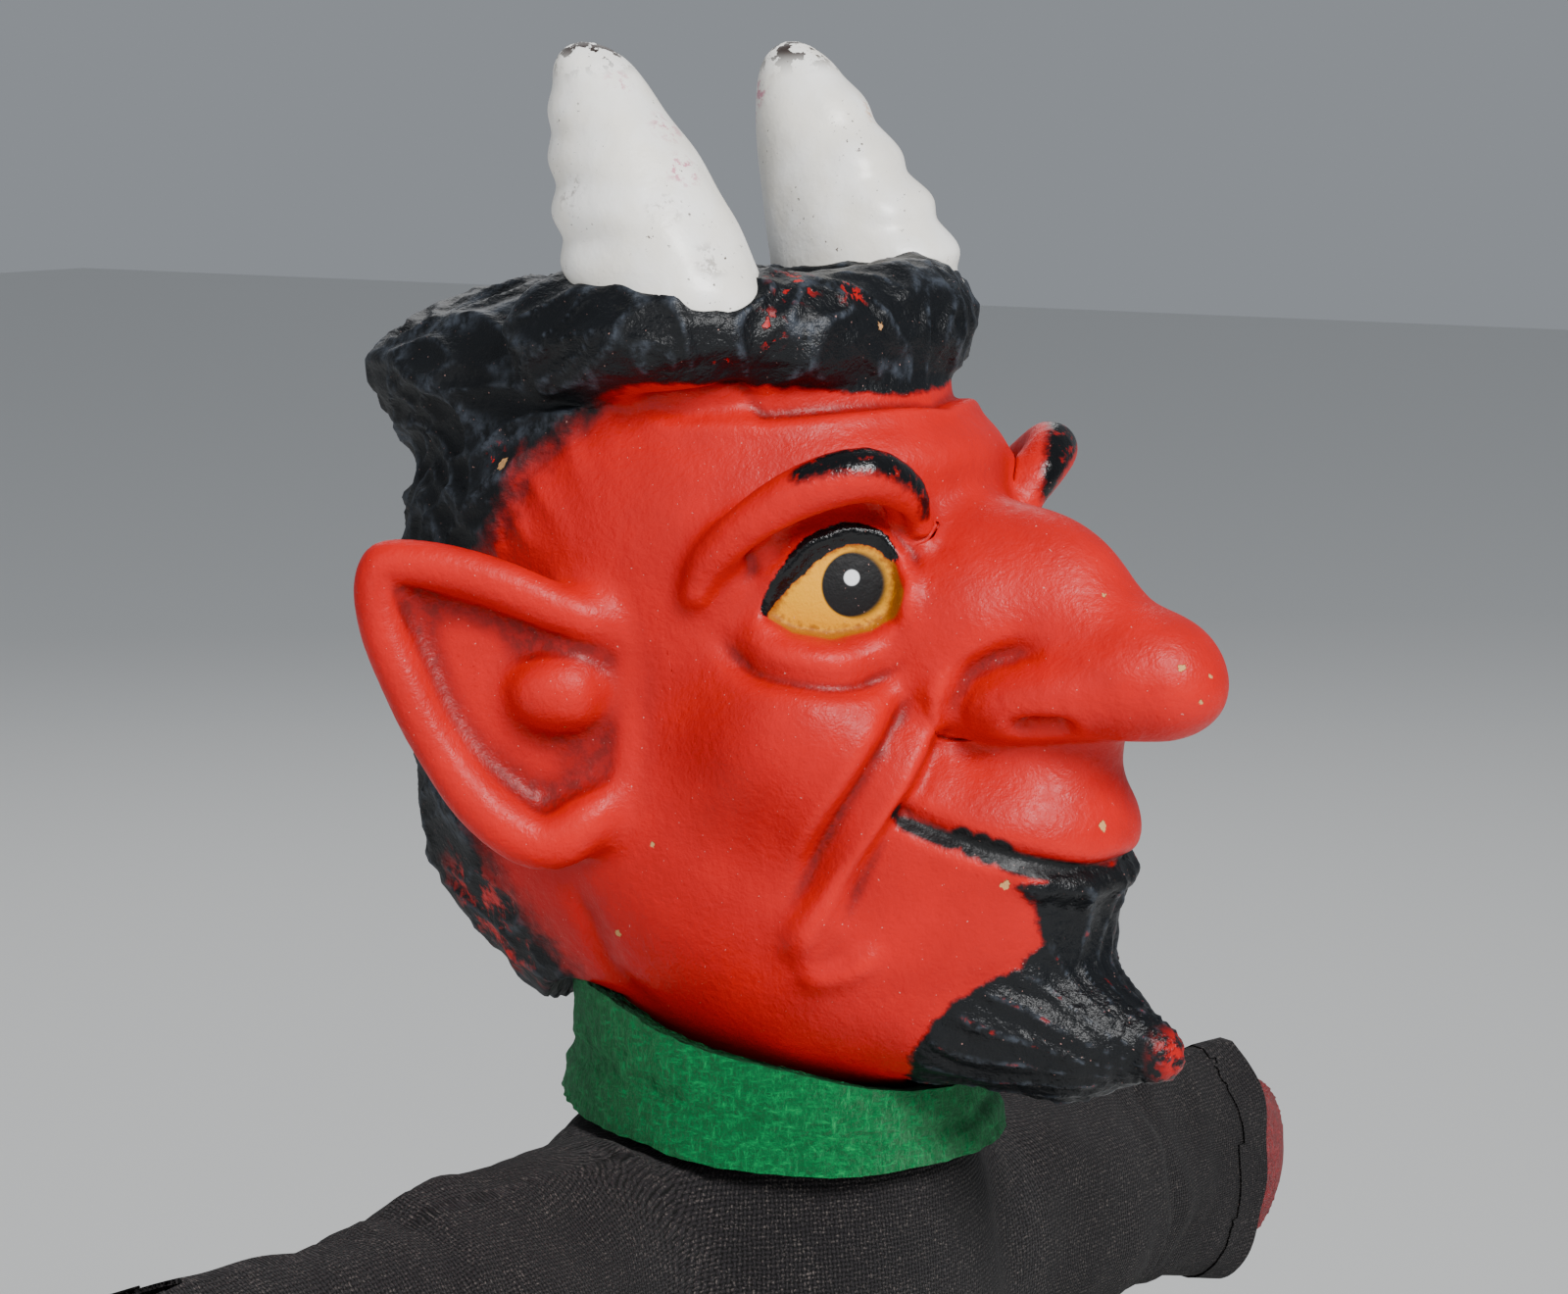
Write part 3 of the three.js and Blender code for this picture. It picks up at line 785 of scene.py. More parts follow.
def vinyl_paint(settings):
    """Red vinyl with sprayed and brushed paint, chipped and dusty, with painted shade in its creases and painted
    highlights on its ridges and on the hair's crests.
    """
    s = Surface("painted_vinyl")
    speck = s.noise(0.5, 2)
    grain = s.noise(1.6, 3, 0.6)
    cloud = s.noise(9, 3)
    hollow = s.stored("hollow")
    skin = s.mix(s.ease(cloud, 0.3, 0.75), [0.83 * c for c in settings.red[:3]] + [1], settings.red)
    # painted shade: the skin turns a darker red in the creases and hollows
    skin = s.mix(s.times(s.ease(hollow, 0.02, 0.45), 0.75), skin, settings.shade)
    # patchy dark red-brown laid into the deeper hollows, broken up by noise
    hollow_patches = s.times(s.ease(hollow, 0.12, 0.6), s.ease(grain, 0.4, 0.62))
    skin = s.mix(s.times(hollow_patches, 0.5), skin, tint(70, 20, 18))
    shine = s.times(s.ease(hollow, -0.05, -0.4), 0.35)
    skin = s.mix(shine, skin, tint(224, 18, 10))
    # hair and beard
    crest = s.stored("crest")
    # the hair's crests painted lighter and bluer: partly dust, partly painted sheen
    dust_and_sheen = s.times(s.ease(crest, 0.3, 0.9), s.ease(s.noise(2.2, 4, 0.65), 0.36, 0.66))
    black = s.mix(s.ease(s.noise(7, 2), 0.35, 0.7), [0.75 * c for c in settings.black[:3]] + [1], settings.black)
    black = s.mix(s.times(dust_and_sheen, 0.42), black, tint(88, 96, 108))
    worn = 0.0
    for point, radius in WORN:
        spot = s.ease(s.gap(point), radius, radius * 0.3)
        worn = s.most(worn, spot)
    worn = s.times(worn, s.ease(s.noise(1.5, 3, 0.55), 0.555, 0.6))
    hair = s.stored("hair")
    ragged = s.minus(s.noise(2.4, 4, 0.6), 0.5)
    edge = s.math("MULTIPLY_ADD", ragged, s.blend(s.stored("airbrush"), 1.6, 7.0), hair)
    width = s.blend(s.stored("airbrush"), 0.35, 3.4)
    in_hair = s.ease(edge, s.times(width, -1), width)
    nape = s.times(s.ease(s.noise(4, 4, 0.6), 0.5, 0.62), s.ease(s.gap((-22, 28, 212)), 13, 4))
    in_hair = s.times(in_hair, s.minus(1, s.most(worn, nape)))
    beard = s.math("MULTIPLY_ADD", ragged, 2.6, s.stored("beard"))
    in_beard = s.ease(beard, -0.4, 0.5)
    rubbed = s.times(s.ease(crest, 0.5, 0.9), s.ease(s.noise(1.5, 3, 0.6), 0.55, 0.66))
    tip = s.times(s.ease(s.gap((0, -59, 200.5)), 5.5, 1.5), s.ease(s.noise(1.3, 3, 0.6), 0.4, 0.6, 0, 0.75))
    in_beard = s.times(in_beard, s.minus(1, s.most(tip, s.times(rubbed, 0.35))))
    dark = s.most(in_hair, in_beard)
    # black lines of the lid, brow and mouth
    stipple = s.times(s.minus(s.noise(0.8, 3, 0.6), 0.5), 1.6)
    lid = s.ease(s.plus(s.stored("lid"), s.times(stipple, 0.5)), -0.12, 0.15)
    brow = s.ease(s.plus(s.stored("brow"), s.times(stipple, 0.9)), -0.8, 0.8)
    brow = s.times(brow, s.ease(s.noise(1.6, 3, 0.6), 0.3, 0.46, 0.6, 1.0))
    mouth = s.ease(s.plus(s.stored("mouth"), s.times(stipple, 0.3)), -0.45, 0.3)
    lines = s.most(lid, s.most(brow, mouth))
    color = s.mix(dark, skin, black)
    color = s.mix(lines, color, settings.line)
    # eye
    u, v = s.stored("eye_u"), s.stored("eye_v")
    eye = s.stored("eye")
    # the yellow turns ochre in a ragged band along the eye's outline
    ochre_rim = s.math("MULTIPLY_ADD", s.minus(s.noise(0.7, 3), 0.5), 2.0, eye)
    yellow = s.mix(s.ease(ochre_rim, 0.3, 1.5), tint(160, 92, 0), settings.yellow)

    def round_spot(middle, radius, soft):
        across, up = (s.math("POWER", s.minus(place, start), 2) for place, start in zip((u, v), middle))
        return s.ease(s.math("SQRT", s.plus(across, up)), s.plus(radius, soft), s.minus(radius, soft))

    pupil = round_spot(PUPIL, 4.05, s.ease(u, PUPIL[0] - 2, PUPIL[0] + 3, 0.16, 0.75))
    glint = round_spot(GLINT, 0.95, 0.12)
    in_eye = s.ease(eye, -0.18, 0.12)
    eye_color = s.mix(pupil, yellow, tint(16, 16, 17))
    eye_color = s.mix(glint, eye_color, tint(232, 236, 238))
    not_lid = s.minus(1, lid)
    color = s.mix(s.times(in_eye, not_lid), color, eye_color)
    # chips and dust
    chip = 0.0
    for point, radius in CHIPS:
        reach = s.math("MULTIPLY_ADD", s.minus(speck, 0.5), 0.9, s.gap(point))
        chip = s.most(chip, s.ease(reach, radius + 0.08, radius - 0.08))
    color = s.mix(chip, color, settings.bare)
    lint = s.times(s.ease(s.noise(0.42, 1), 0.76, 0.8), 0.55)
    color = s.mix(lint, color, tint(200, 150, 140))
    rough = s.blend(s.ease(grain, 0.3, 0.7), 0.4, 0.54)
    rough = s.blend(in_hair, rough, s.blend(s.stored("airbrush"), 0.42, 0.62))
    rough = s.blend(in_beard, rough, 0.4)
    rough = s.blend(s.most(lid, brow), rough, 0.22)
    rough = s.blend(s.times(in_eye, not_lid), rough, 0.6)
    rough = s.blend(chip, rough, 0.75)
    peel = s.bump(s.noise(1.1, 3, 0.55), 0.15)
    peel = s.bump(s.noise(0.34, 1), 0.045, peel)
    comb = s.noise(1.1, 3, 0.6, stretch=(1, 2.5, 1))
    peel = s.bump(s.times(comb, dark), 0.3, peel)
    peel = s.bump(s.minus(1, chip), 0.12, peel)
    s.shader.inputs["Specular IOR Level"].default_value = 0.27
    return s.finish(color, rough, peel)


PINK = (206, 96, 132)
# what is smeared on each horn: (share, colour, [(point, radius)])
SMEARS = {
    -1: [
        (0.8, PINK, [((-22, 3, 311), 3.6), ((-24, -2, 307), 3.2), ((-24, 8, 317), 2.5)]),
        (0.6, (120, 108, 100), [((-26, -7, 296), 3.2), ((-30, 10, 304), 3.2), ((-29, -3, 303), 3.2)]),
    ],
    1: [
        (0.8, PINK, [((17, 16, 316), 3), ((17, 18, 313), 2.6)]),
        (0.75, (222, 160, 100), [((25, 2, 314), 4), ((28, 0, 307), 4), ((30, -3, 302), 4), ((30, -6, 297), 4)]),
    ],
}


def horn_paint(side, settings):
    """Creamy white vinyl, chipped at the tip, with pink and orange smears, and shade painted into its hollows."""
    s = Surface("horn_paint_right" if side < 0 else "horn_paint_left")
    hollow = s.stored("hollow")
    color = s.mix(s.ease(s.noise(6, 3), 0.35, 0.7), tint(246, 241, 230), settings.white)
    # painted shade: tan laid into the hollows between the horn's lumps
    color = s.mix(s.times(s.ease(hollow, 0.02, 0.25), 0.5), color, tint(196, 170, 140))
    smear = s.ease(s.noise(1.6, 4, 0.7), 0.5, 0.6)
    for share, paint, patches in SMEARS[side]:
        cover = 0.0
        for point, radius in patches:
            cover = s.most(cover, s.times(s.ease(s.gap(point), radius, radius * 0.35), smear))
        color = s.mix(s.times(cover, share), color, tint(*paint))
    tip = s.times(s.ease(s.gap((HORN_X * side, 13.5, 322)), 7.5, 3), s.ease(s.noise(2.2, 4, 0.6), 0.5, 0.53))
    color = s.mix(tip, color, tint(46, 34, 30))
    fleck = s.times(s.ease(s.noise(0.7, 3, 0.6), 0.66, 0.7), s.ease(s.noise(5, 2), 0.46, 0.56))
    color = s.mix(fleck, color, tint(84, 70, 60))
    normal = s.bump(s.noise(2.4, 3, 0.5), 0.14)
    normal = s.bump(s.noise(0.5, 2), 0.03, normal)
    normal = s.bump(s.minus(1, tip), 0.12, normal)
    s.shader.inputs["Coat Weight"].default_value = 0.25
    s.shader.inputs["Coat Roughness"].default_value = 0.22
    return s.finish(color, s.blend(tip, 0.38, 0.8), normal)


# ------------------------------------------------------------------ horns

HORN_X = 22  # how far out each horn stands
# (height, y of the middle, half width across, half width front to back)
HORN_RINGS = [
    (289.4, 1.7, 9.8, 13.0), (292, 2.2, 10.2, 13.2), (295, 3.0, 10.1, 12.8), (299.5, 4.6, 9.7, 11.9),
    (304, 6.5, 9.1, 10.8), (308.5, 8.5, 8.2, 9.4), (313, 10.6, 7.1, 7.8), (316.8, 12.1, 5.9, 6.2),
    (319.8, 13.2, 4.4, 4.5), (321.6, 13.8, 2.7, 2.7), (322.4, 14, 0.9, 0.9),
]


def horn(side, settings):
    """A blunt horn that leans back, lumpy down its outer side."""
    rings, around = 96, 88
    deselect()
    bpy.ops.mesh.primitive_cylinder_add(vertices=around, radius=MM, depth=MM, end_fill_type="NGON")
    obj = bpy.context.object
    obj.name = obj.data.name = "moulded_horn_right" if side < 0 else "moulded_horn_left"
    bpy.ops.object.mode_set(mode="EDIT")
    bpy.ops.mesh.select_mode(type="EDGE")
    bpy.ops.mesh.select_all(action="DESELECT")
    bpy.ops.object.mode_set(mode="OBJECT")
    for edge in obj.data.edges:
        a, b = (obj.data.vertices[index].co for index in edge.vertices)
        edge.select = abs(a.z - b.z) > MM / 2
    bpy.ops.object.mode_set(mode="EDIT")
    bpy.ops.mesh.subdivide_edgering(number_cuts=rings, interpolation="LINEAR")
    bpy.ops.object.mode_set(mode="OBJECT")
    points = points_of(obj)
    table = rounded(HORN_RINGS, 8, closed=False)
    share = points[:, 2] + 0.5
    # rings crowd together towards the tip, where the horn closes
    length = np.concatenate([[0], np.cumsum(np.linalg.norm(np.diff(table[:, [0, 3]], axis=0), axis=1))])
    along = share * length[-1]
    z, y, half_x, half_y = (np.interp(along, length, table[:, column]) for column in range(4))
    angle = np.arctan2(points[:, 1], points[:, 0] * side)
    outer = np.clip(np.cos(angle + math.radians(55 * side)), 0, 1) ** (0.8 if side < 0 else 0.5)
    ring = np.cos((z - 289.5) * 2 * math.pi / 6.3 + 0.35 * np.sin(angle * 2))
    rise = settings.right_lump if side < 0 else settings.left_lump
    swell = 1 + outer * (rise * (0.5 + 0.5 * ring) ** 0.8 - 0.03) * smooth(321 - z, 0, 5)
    placed = np.stack(
        [HORN_X * side + side * np.cos(angle) * half_x * swell, y + np.sin(angle) * half_y * swell, z], 1
    )
    placed += 0.22 * np.stack([waves(placed, 6, 20 + i) for i in range(3)], 1)
    set_points(obj, placed)
    take(obj)
    bpy.ops.object.mode_set(mode="EDIT")
    bpy.ops.mesh.select_all(action="SELECT")
    bpy.ops.mesh.normals_make_consistent(inside=False)
    bpy.ops.object.mode_set(mode="OBJECT")
    bpy.ops.object.shade_smooth()
    settle(obj)
    set_attribute(obj, "hollow", hollows(obj, 14))
    obj.data.materials.append(horn_paint(side, settings))
    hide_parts("right_horn" if side < 0 else "left_horn")
    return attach(obj, "head")


# ------------------------------------------------------------------ head, put together


def head(settings):
    obj = head_blank(settings.grain / MM)
    crest = shape_head(obj)
    paint_head(obj, crest)
    obj.data.materials.append(vinyl_paint(settings))
    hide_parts("head_shell")
    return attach(obj, "head")


# ------------------------------------------------------------------ glove cloth

# (height, half width, half depth) of the glove's body
BODY_RINGS = [
    (-12, 63, 38.8), (0, 62, 38), (45, 53, 33), (90, 45, 29), (125, 42.5, 27.5), (145, 40, 26.8), (160, 35.5, 26),
    (172, 29.5, 25.4), (180, 26, 24.8), (186, 24.2, 24.2), (206, 24.2, 24.2),
]
# middle line and radius of each sleeve, from under the collar to past the cuff
SLEEVES = {
    -1: [
        (-12, 8, 175.5, 12.5), (-30, 7, 171.5, 15.5), (-48, 5, 170, 17.8), (-66, 3, 170.4, 17.8),
        (-82, 1, 170.2, 17.4), (-100, 0, 171, 17), (-132, 0, 173.4, 17),
    ],
    1: [
        (12, 3, 175, 12), (30, 1, 166.5, 14.5), (48, 0, 161.6, 16.4), (66, 0, 160.2, 16.5),
        (82, 0, 159.6, 16.6), (100, 0, 156.6, 16.8), (124, 0, 153, 17.6),
    ],
}
ELBOW = {-1: np.array([-81.73, 0, 166.39]), 1: np.array([81.73, 0, 157.61])}
ARM = {-1: np.array([-0.9925, 0, 0.1219]), 1: np.array([0.9925, 0, -0.1219])}
CUFF_END = {-1: 47.0, 1: 33.0}  # past the elbow, along the arm
CUFF_DEEP = 8.0
ELBOW_OVERLAP = 10.0  # the lower sleeve's piece starts this far before the elbow
NECK_CLOTH = (174.0, 38.0)  # the neck's part of the cloth: lowest height, half width
NECK_CLOTH_TOP = 190.0
NECK_R = 24.0
HEM_DEEP = 12.0
ARM_LOWEST = 100.0  # no cloth below this height belongs to an arm
CUFF_OUT = 0.3  # how far the cuff's outside stands off the sleeve
HEM_OUT = 0.9
LAID_ON = 0.03  # gap between a sleeve or the body and what is laid on it


def body_field(points):
    z = points[:, 2]
    rings = np.array(BODY_RINGS)
    half_x = np.interp(z, rings[:, 0], rings[:, 1])
    half_y = np.interp(z, rings[:, 0], rings[:, 2])
    field = (np.hypot(points[:, 0] / half_x, points[:, 1] / half_y) - 1) * np.minimum(half_x, half_y)
    return np.maximum(field, np.maximum(z - 204, -10 - z))


def sleeve_squash(reach):
    """How many times flatter front to back a sleeve is, at a distance out from the puppet's middle."""
    return 1 + 0.8 * smooth(reach, 60, 104)


def cloth_field(points):
    field = body_field(points)
    flatter = points.copy()
    flatter[:, 1] *= sleeve_squash(np.abs(points[:, 0]))
    for side in (-1, 1):
        field = blended(field, chain(flatter, SLEEVES[side]), 13)
    # the neck goes up inside the collar
    reach = np.hypot(points[:, 0], points[:, 1])
    level, rise = COLLAR_FOOT
    field = carved(field, np.maximum(reach - 31, level - 1.4 + rise * points[:, 1] - points[:, 2]), 2.5)
    return blended(field, np.maximum(reach - NECK_R, np.maximum(150 - points[:, 2], points[:, 2] - 204)), 1.5)


def along_arm(points, side):
    """Distance past the elbow."""
    return (points - ELBOW[side]) @ ARM[side]


def folds(points):
    """Soft folds of the worn glove."""
    side_reach = np.abs(points[:, 0])
    around = np.arctan2(points[:, 0], -points[:, 1])
    low = smooth(-points[:, 2], -140, -10)
    body = smooth(-side_reach, -62, -40)
    height = 2.2 * low * np.sin(around * 5 + 0.8 * waves(points, 40, 30))
    height += body * 0.7 * waves(points, 12, 31, (1, 1, 2.4))
    near_neck = smooth(-np.hypot(points[:, 0], points[:, 1]), -48, -26) * smooth(points[:, 2], 150, 172)
    height += near_neck * 0.55 * np.sin(around * 11 + 1.5 * waves(points, 20, 32))
    sleeve = smooth(side_reach, 34, 55)
    height += sleeve * (0.9 * waves(points, 11, 33, (2.6, 1, 1)) + 0.5 * waves(points, 7, 34, (1.2, 1, 1)))
    for side in (-1, 1):
        past = along_arm(points, side)
        crook = np.exp(-((past / 12) ** 2)) * (points[:, 0] * side > 0)
        height += crook * 0.45 * np.sin(past * 0.6 + 2.2 * waves(points, 12, 35 + side))
    seam = np.exp(-(((points[:, 1] - 5 * smooth(-points[:, 0], 0, 40) * smooth(points[:, 0], -110, -60)) / 1.3) ** 2))
    height += 0.75 * sleeve * seam * (points[:, 2] > 162)
    return height * smooth(np.hypot(points[:, 0], points[:, 1]), 26, 33)


def cloth_whole(grain):
    """The whole glove as one open skin, before it is shared out among the pieces."""
    lumps = []
    for z in range(-6, 204, 9):
        half_x, half_y = (np.interp(z, *(np.array(BODY_RINGS)[:, [0, column]].T)) for column in (1, 2))
        lumps.append(ball((0, 0, z), (half_x, half_y, 9), 0, 32, 12))
    for side in (-1, 1):
        for x, y, z, radius in rounded(SLEEVES[side], 4, closed=False):
            lumps.append(ball((x, y, z), [radius] * 3, 0, 20, 12))
    skin = remesh(join(lumps, "glove_skin"), grain)
    settle_on_field(skin, cloth_field, 6)
    points = points_of(skin)
    set_points(skin, points + normals_of(skin) * folds(points)[:, None])
    cuts = [((0, 0, 0), (0, 0, -1), True), ((0, 0, NECK_CLOTH_TOP), (0, 0, 1), True)]
    cuts += [(ELBOW[side] + CUFF_END[side] * ARM[side], ARM[side], True) for side in (-1, 1)]
    cut_away(skin, cuts)
    return skin


def weave_of(points):
    """Where the weave's threads run: across, along x, and up, in millimetres."""
    x, y, z = points.T
    sleeve = smooth(np.abs(x), 30, 58)
    across = 30 * np.arctan2(x, np.abs(y) + 4) * 1.05
    across = across * (1 - sleeve) + (x + np.sign(x) * 2) * sleeve
    up = z.copy()
    for side in (-1, 1):
        line = rounded(SLEEVES[side], 4, closed=False)
        middle = np.interp(np.abs(x), np.abs(line[:, 0]), line[:, 2])
        angle = np.arctan2(z - middle, np.abs(y) + 0.5)
        up = np.where(x * side > 0, z * (1 - sleeve) + (middle + 16.5 * angle) * sleeve, up)
    return across, up


def shell(name, points, normals, faces, outside, inside):
    """A sheet of cloth from some faces of a skin, between two offsets along the skin's normals."""
    used = np.unique([index for face in faces for index in face])
    number = {old: new for new, old in enumerate(used)}
    count = len(used)
    outer = points[used] + normals[used] * outside
    inner = points[used] + normals[used] * inside
    cells = [[number[index] for index in face] for face in faces]
    cells += [[number[index] + count for index in reversed(face)] for face in faces]
    seen = {}
    for face in faces:
        for a, b in zip(face, face[1:] + face[:1]):
            seen[(a, b)] = True
    for a, b in list(seen):
        if (b, a) not in seen:
            cells.append([number[b], number[a], number[a] + count, number[b] + count])
    mesh = bpy.data.meshes.new(name)
    mesh.from_pydata([Vector(point) * MM for point in np.concatenate([outer, inner])], [], cells)
    mesh.update()
    mesh.shade_smooth()
    mesh.normals_split_custom_set_from_vertices(np.concatenate([normals[used], -normals[used]]).tolist())
    obj = bpy.data.objects.new(name, mesh)
    bpy.context.collection.objects.link(obj)
    across, up = weave_of(points[used])
    set_attribute(obj, "weave_across", np.concatenate([across, across]))
    set_attribute(obj, "weave_up", np.concatenate([up, up]))
    return obj


# size of the neck's cloth as cut flat, from the worn glove's measures and not from the modelled cloth


def girth(half_wide, half_deep):
    """Length round an oval."""
    both = 3 * (half_wide + half_deep)
    return math.pi * (both - np.sqrt((3 * half_wide + half_deep) * (half_wide + 3 * half_deep)))


def body_girth(z):
    heights, wide, deep = np.array(BODY_RINGS).T
    return girth(np.interp(z, heights, wide), np.interp(z, heights, deep))


def sleeve_round(side, reach):
    """Height of the middle and radius of a sleeve, at a distance out from the puppet's middle."""
    line = np.array(SLEEVES[side])
    return [np.interp(reach, np.abs(line[:, 0]), line[:, column]) for column in (2, 3)]


def above_level(side, reach, level):
    """Length round and area of the part of a sleeve's round that stands above a level."""
    middle, radius = sleeve_round(side, reach)
    angle = math.acos(np.clip((level - middle) / radius, -1, 1))
    return 2 * radius * angle, radius**2 * (angle - math.sin(angle) * math.cos(angle))


def neck_cut():
    """Width, length and area of the neck's cloth: a band round the neck and the tops of the two shoulders."""
    level, wide = NECK_CLOTH
    area = body_girth(np.linspace(level, NECK_CLOTH_TOP, 9)).mean() * (NECK_CLOTH_TOP - level)
    for side in (-1, 1):
        around, covered = above_level(side, (wide + NECK_R) / 2, level)
        area += around * (wide - NECK_R) - covered
    return body_girth(level), NECK_CLOTH_TOP - level + wide - NECK_R, area


def glove_cloth(settings):
    s = Surface("black_weave")
    pitch = settings.thread / MM
    wander = s.times(s.minus(s.noise(3.0, 2), 0.5), 0.5)
    jitter = s.times(s.minus(s.noise(0.9, 2), 0.5), 0.35)
    u = s.plus(s.stored("weave_across"), s.plus(wander, jitter))
    v = s.plus(s.stored("weave_up"), s.minus(wander, jitter))
    cross_u = s.math("COSINE", s.times(u, math.pi / pitch))
    cross_v = s.math("COSINE", s.times(v, math.pi / pitch))
    over = s.times(cross_u, cross_v)
    warp = s.times(s.math("ABSOLUTE", cross_u), s.math("MULTIPLY_ADD", over, 0.42, 0.58))
    weft = s.times(s.math("ABSOLUTE", cross_v), s.math("MULTIPLY_ADD", over, -0.42, 0.58))
    weave = s.most(warp, weft)
    fleck = s.times(s.ease(s.noise(0.45, 3, 0.7), 0.5, 0.68), s.ease(s.noise(5, 3, 0.6), 0.3, 0.65, 0.35, 1.0))
    color = s.mix(s.ease(weave, 0.15, 0.75), settings.dark, settings.light)
    color = s.mix(s.times(fleck, s.ease(weave, 0.3, 0.8)), color, tint(98, 90, 86))
    lint = s.times(s.ease(s.noise(1.0, 4, 0.75), 0.66, 0.72), 0.3)
    color = s.mix(lint, color, tint(140, 132, 126))
    normal = s.bump(weave, 0.4)
    normal = s.bump(s.noise(0.28, 2, 0.6), 0.1, normal)
    s.shader.inputs["Sheen Weight"].default_value = 0.03
    s.shader.inputs["Sheen Roughness"].default_value = 0.5
    s.shader.inputs["Specular IOR Level"].default_value = 0.2
    return s.finish(color, 0.92, normal)


def felt(name, light):
    s = Surface(name)
    dark = [0.34 * c for c in light[:3]] + [1]
    pale = [0.95 * c + 0.05 for c in light[:3]] + [1]
    strands = s.noise(0.5, 5, 0.75, stretch=(3.5, 3.5, 1))
    crossing = s.noise(0.5, 5, 0.75, stretch=(1, 1, 4))
    fibre = s.most(strands, crossing)
    color = s.mix(s.ease(fibre, 0.45, 0.72), dark, light)
    color = s.mix(s.times(s.ease(fibre, 0.66, 0.8), 0.6), color, pale)
    color = s.mix(s.times(s.ease(s.noise(2.2, 4, 0.7), 0.45, 0.64), 0.6), color, dark)
    normal = s.bump(fibre, 0.8)
    normal = s.bump(s.noise(1.8, 4, 0.6), 0.5, normal)
    s.shader.inputs["Sheen Weight"].default_value = 0.15
    s.shader.inputs["Sheen Roughness"].default_value = 0.4
    s.shader.inputs["Specular IOR Level"].default_value = 0.15
    return s.finish(color, 0.95, normal)


def glove(settings):
    skin = cloth_whole(settings.grain / MM)
    thickness = settings.thickness / MM
    points, normals, faces, middles = taken_apart(skin)
    cloth = glove_cloth(settings)
    height, wide = NECK_CLOTH
    neck_part = (middles[:, 2] > height) & (np.abs(middles[:, 0]) < wide)
    past = {side: along_arm(middles, side) for side in (-1, 1)}
    on_arm = {side: (middles[:, 0] * side > 0) & (middles[:, 2] > ARM_LOWEST) for side in (-1, 1)}
    lower_part = {side: (past[side] > -ELBOW_OVERLAP) & on_arm[side] for side in (-1, 1)}

    def piece(name, chosen, outside=0.0, inside=-thickness):
        obj = shell(name, points, normals, [face for face, wanted in zip(faces, chosen) if wanted], outside, inside)
        obj.data.materials.append(cloth)
        return obj

    obj = piece("neck_cloth", neck_part)
    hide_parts("neck_gusset")
    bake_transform(obj)
    neck_cut()
    for side, word in ((-1, "right"), (1, "left")):
        half = (middles[:, 0] * side > 0) & ~neck_part & ~lower_part[side]
        obj = piece(word + "_glove_cloth", half)
        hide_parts("glove_front" if side < 0 else "glove_back", word + "_upper_sleeve")
        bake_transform(obj)
        obj = piece(word + "_lower_sleeve_cloth", lower_part[side])
        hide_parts(word + "_lower_sleeve")
        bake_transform(obj)
        cuff_end = CUFF_END[side]
        on_cuff = (past[side] > cuff_end - CUFF_DEEP) & (middles[:, 0] * side > 0)
        obj = piece(word + "_cuff_cloth", on_cuff, CUFF_OUT, LAID_ON)
        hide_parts(word + "_cuff")
        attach(obj, word + "_forearm")
    obj = piece("hem_cloth", middles[:, 2] < HEM_DEEP, HEM_OUT, LAID_ON)
    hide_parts("hem_band")
    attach(obj, "glove")


# ------------------------------------------------------------------ felt hands and collar


# along the arm, past the elbow: start of the hand's form, start of its felt, and middle of its rounded tip
HAND_START, HAND_CUT, HAND_END = 22, 24, 39.5


def hand_field(side):
    start = ELBOW[side] + HAND_START * ARM[side]
    end = ELBOW[side] + HAND_END * ARM[side]

    def field(points):
        flat = points * [1, 1 / 0.42, 1]
        mitt = chain(flat, [(*start, 13.2), (*((start + end) / 2), 13.0), (*end, 11.6)]) * 0.55
        rim = chain(points * [1, 0, 1], [(*start, 14.4), (*((start + end) / 2), 14.2), (*end, 12.9)])
        return blended(mitt, np.maximum(rim, np.abs(points[:, 1]) - 1.15), 1.2)

    return field


def hands(settings):
    material = felt("red_felt", settings.hands)
    for side, word in ((-1, "right"), (1, "left")):
        start, end = ELBOW[side] + HAND_START * ARM[side], ELBOW[side] + HAND_END * ARM[side]
        lumps = [ball(start + share * (end - start), (13.4, 6, 13.4), 0, 24, 16) for share in (0, 0.25, 0.5, 0.75)]
        lumps += [ball(end, (12.6, 5.4, 12.6), 0, 24, 16)]
        skin = remesh(join(lumps, "hand_skin"), 0.8)
        settle_on_field(skin, hand_field(side), 8)
        # the wrist comes off, and a cut down the middle parts front from back
        cut_away(skin, [(ELBOW[side] + HAND_CUT * ARM[side], -ARM[side], True), ((0, 0, 0), (0, 1, 0), False)])
        points, normals, faces, middles = taken_apart(skin)
        for front, end_word in ((True, "front"), (False, "back")):
            chosen = [face for face, y in zip(faces, middles[:, 1]) if (y < 0) == front]
            obj = shell(f"{word}_felt_hand_{end_word}", points, normals, chosen, 0.0, -settings.hand_thickness / MM)
            obj.data.materials.append(material)
            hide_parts(f"{word}_hand_{end_word}")
            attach(obj, word + "_forearm")


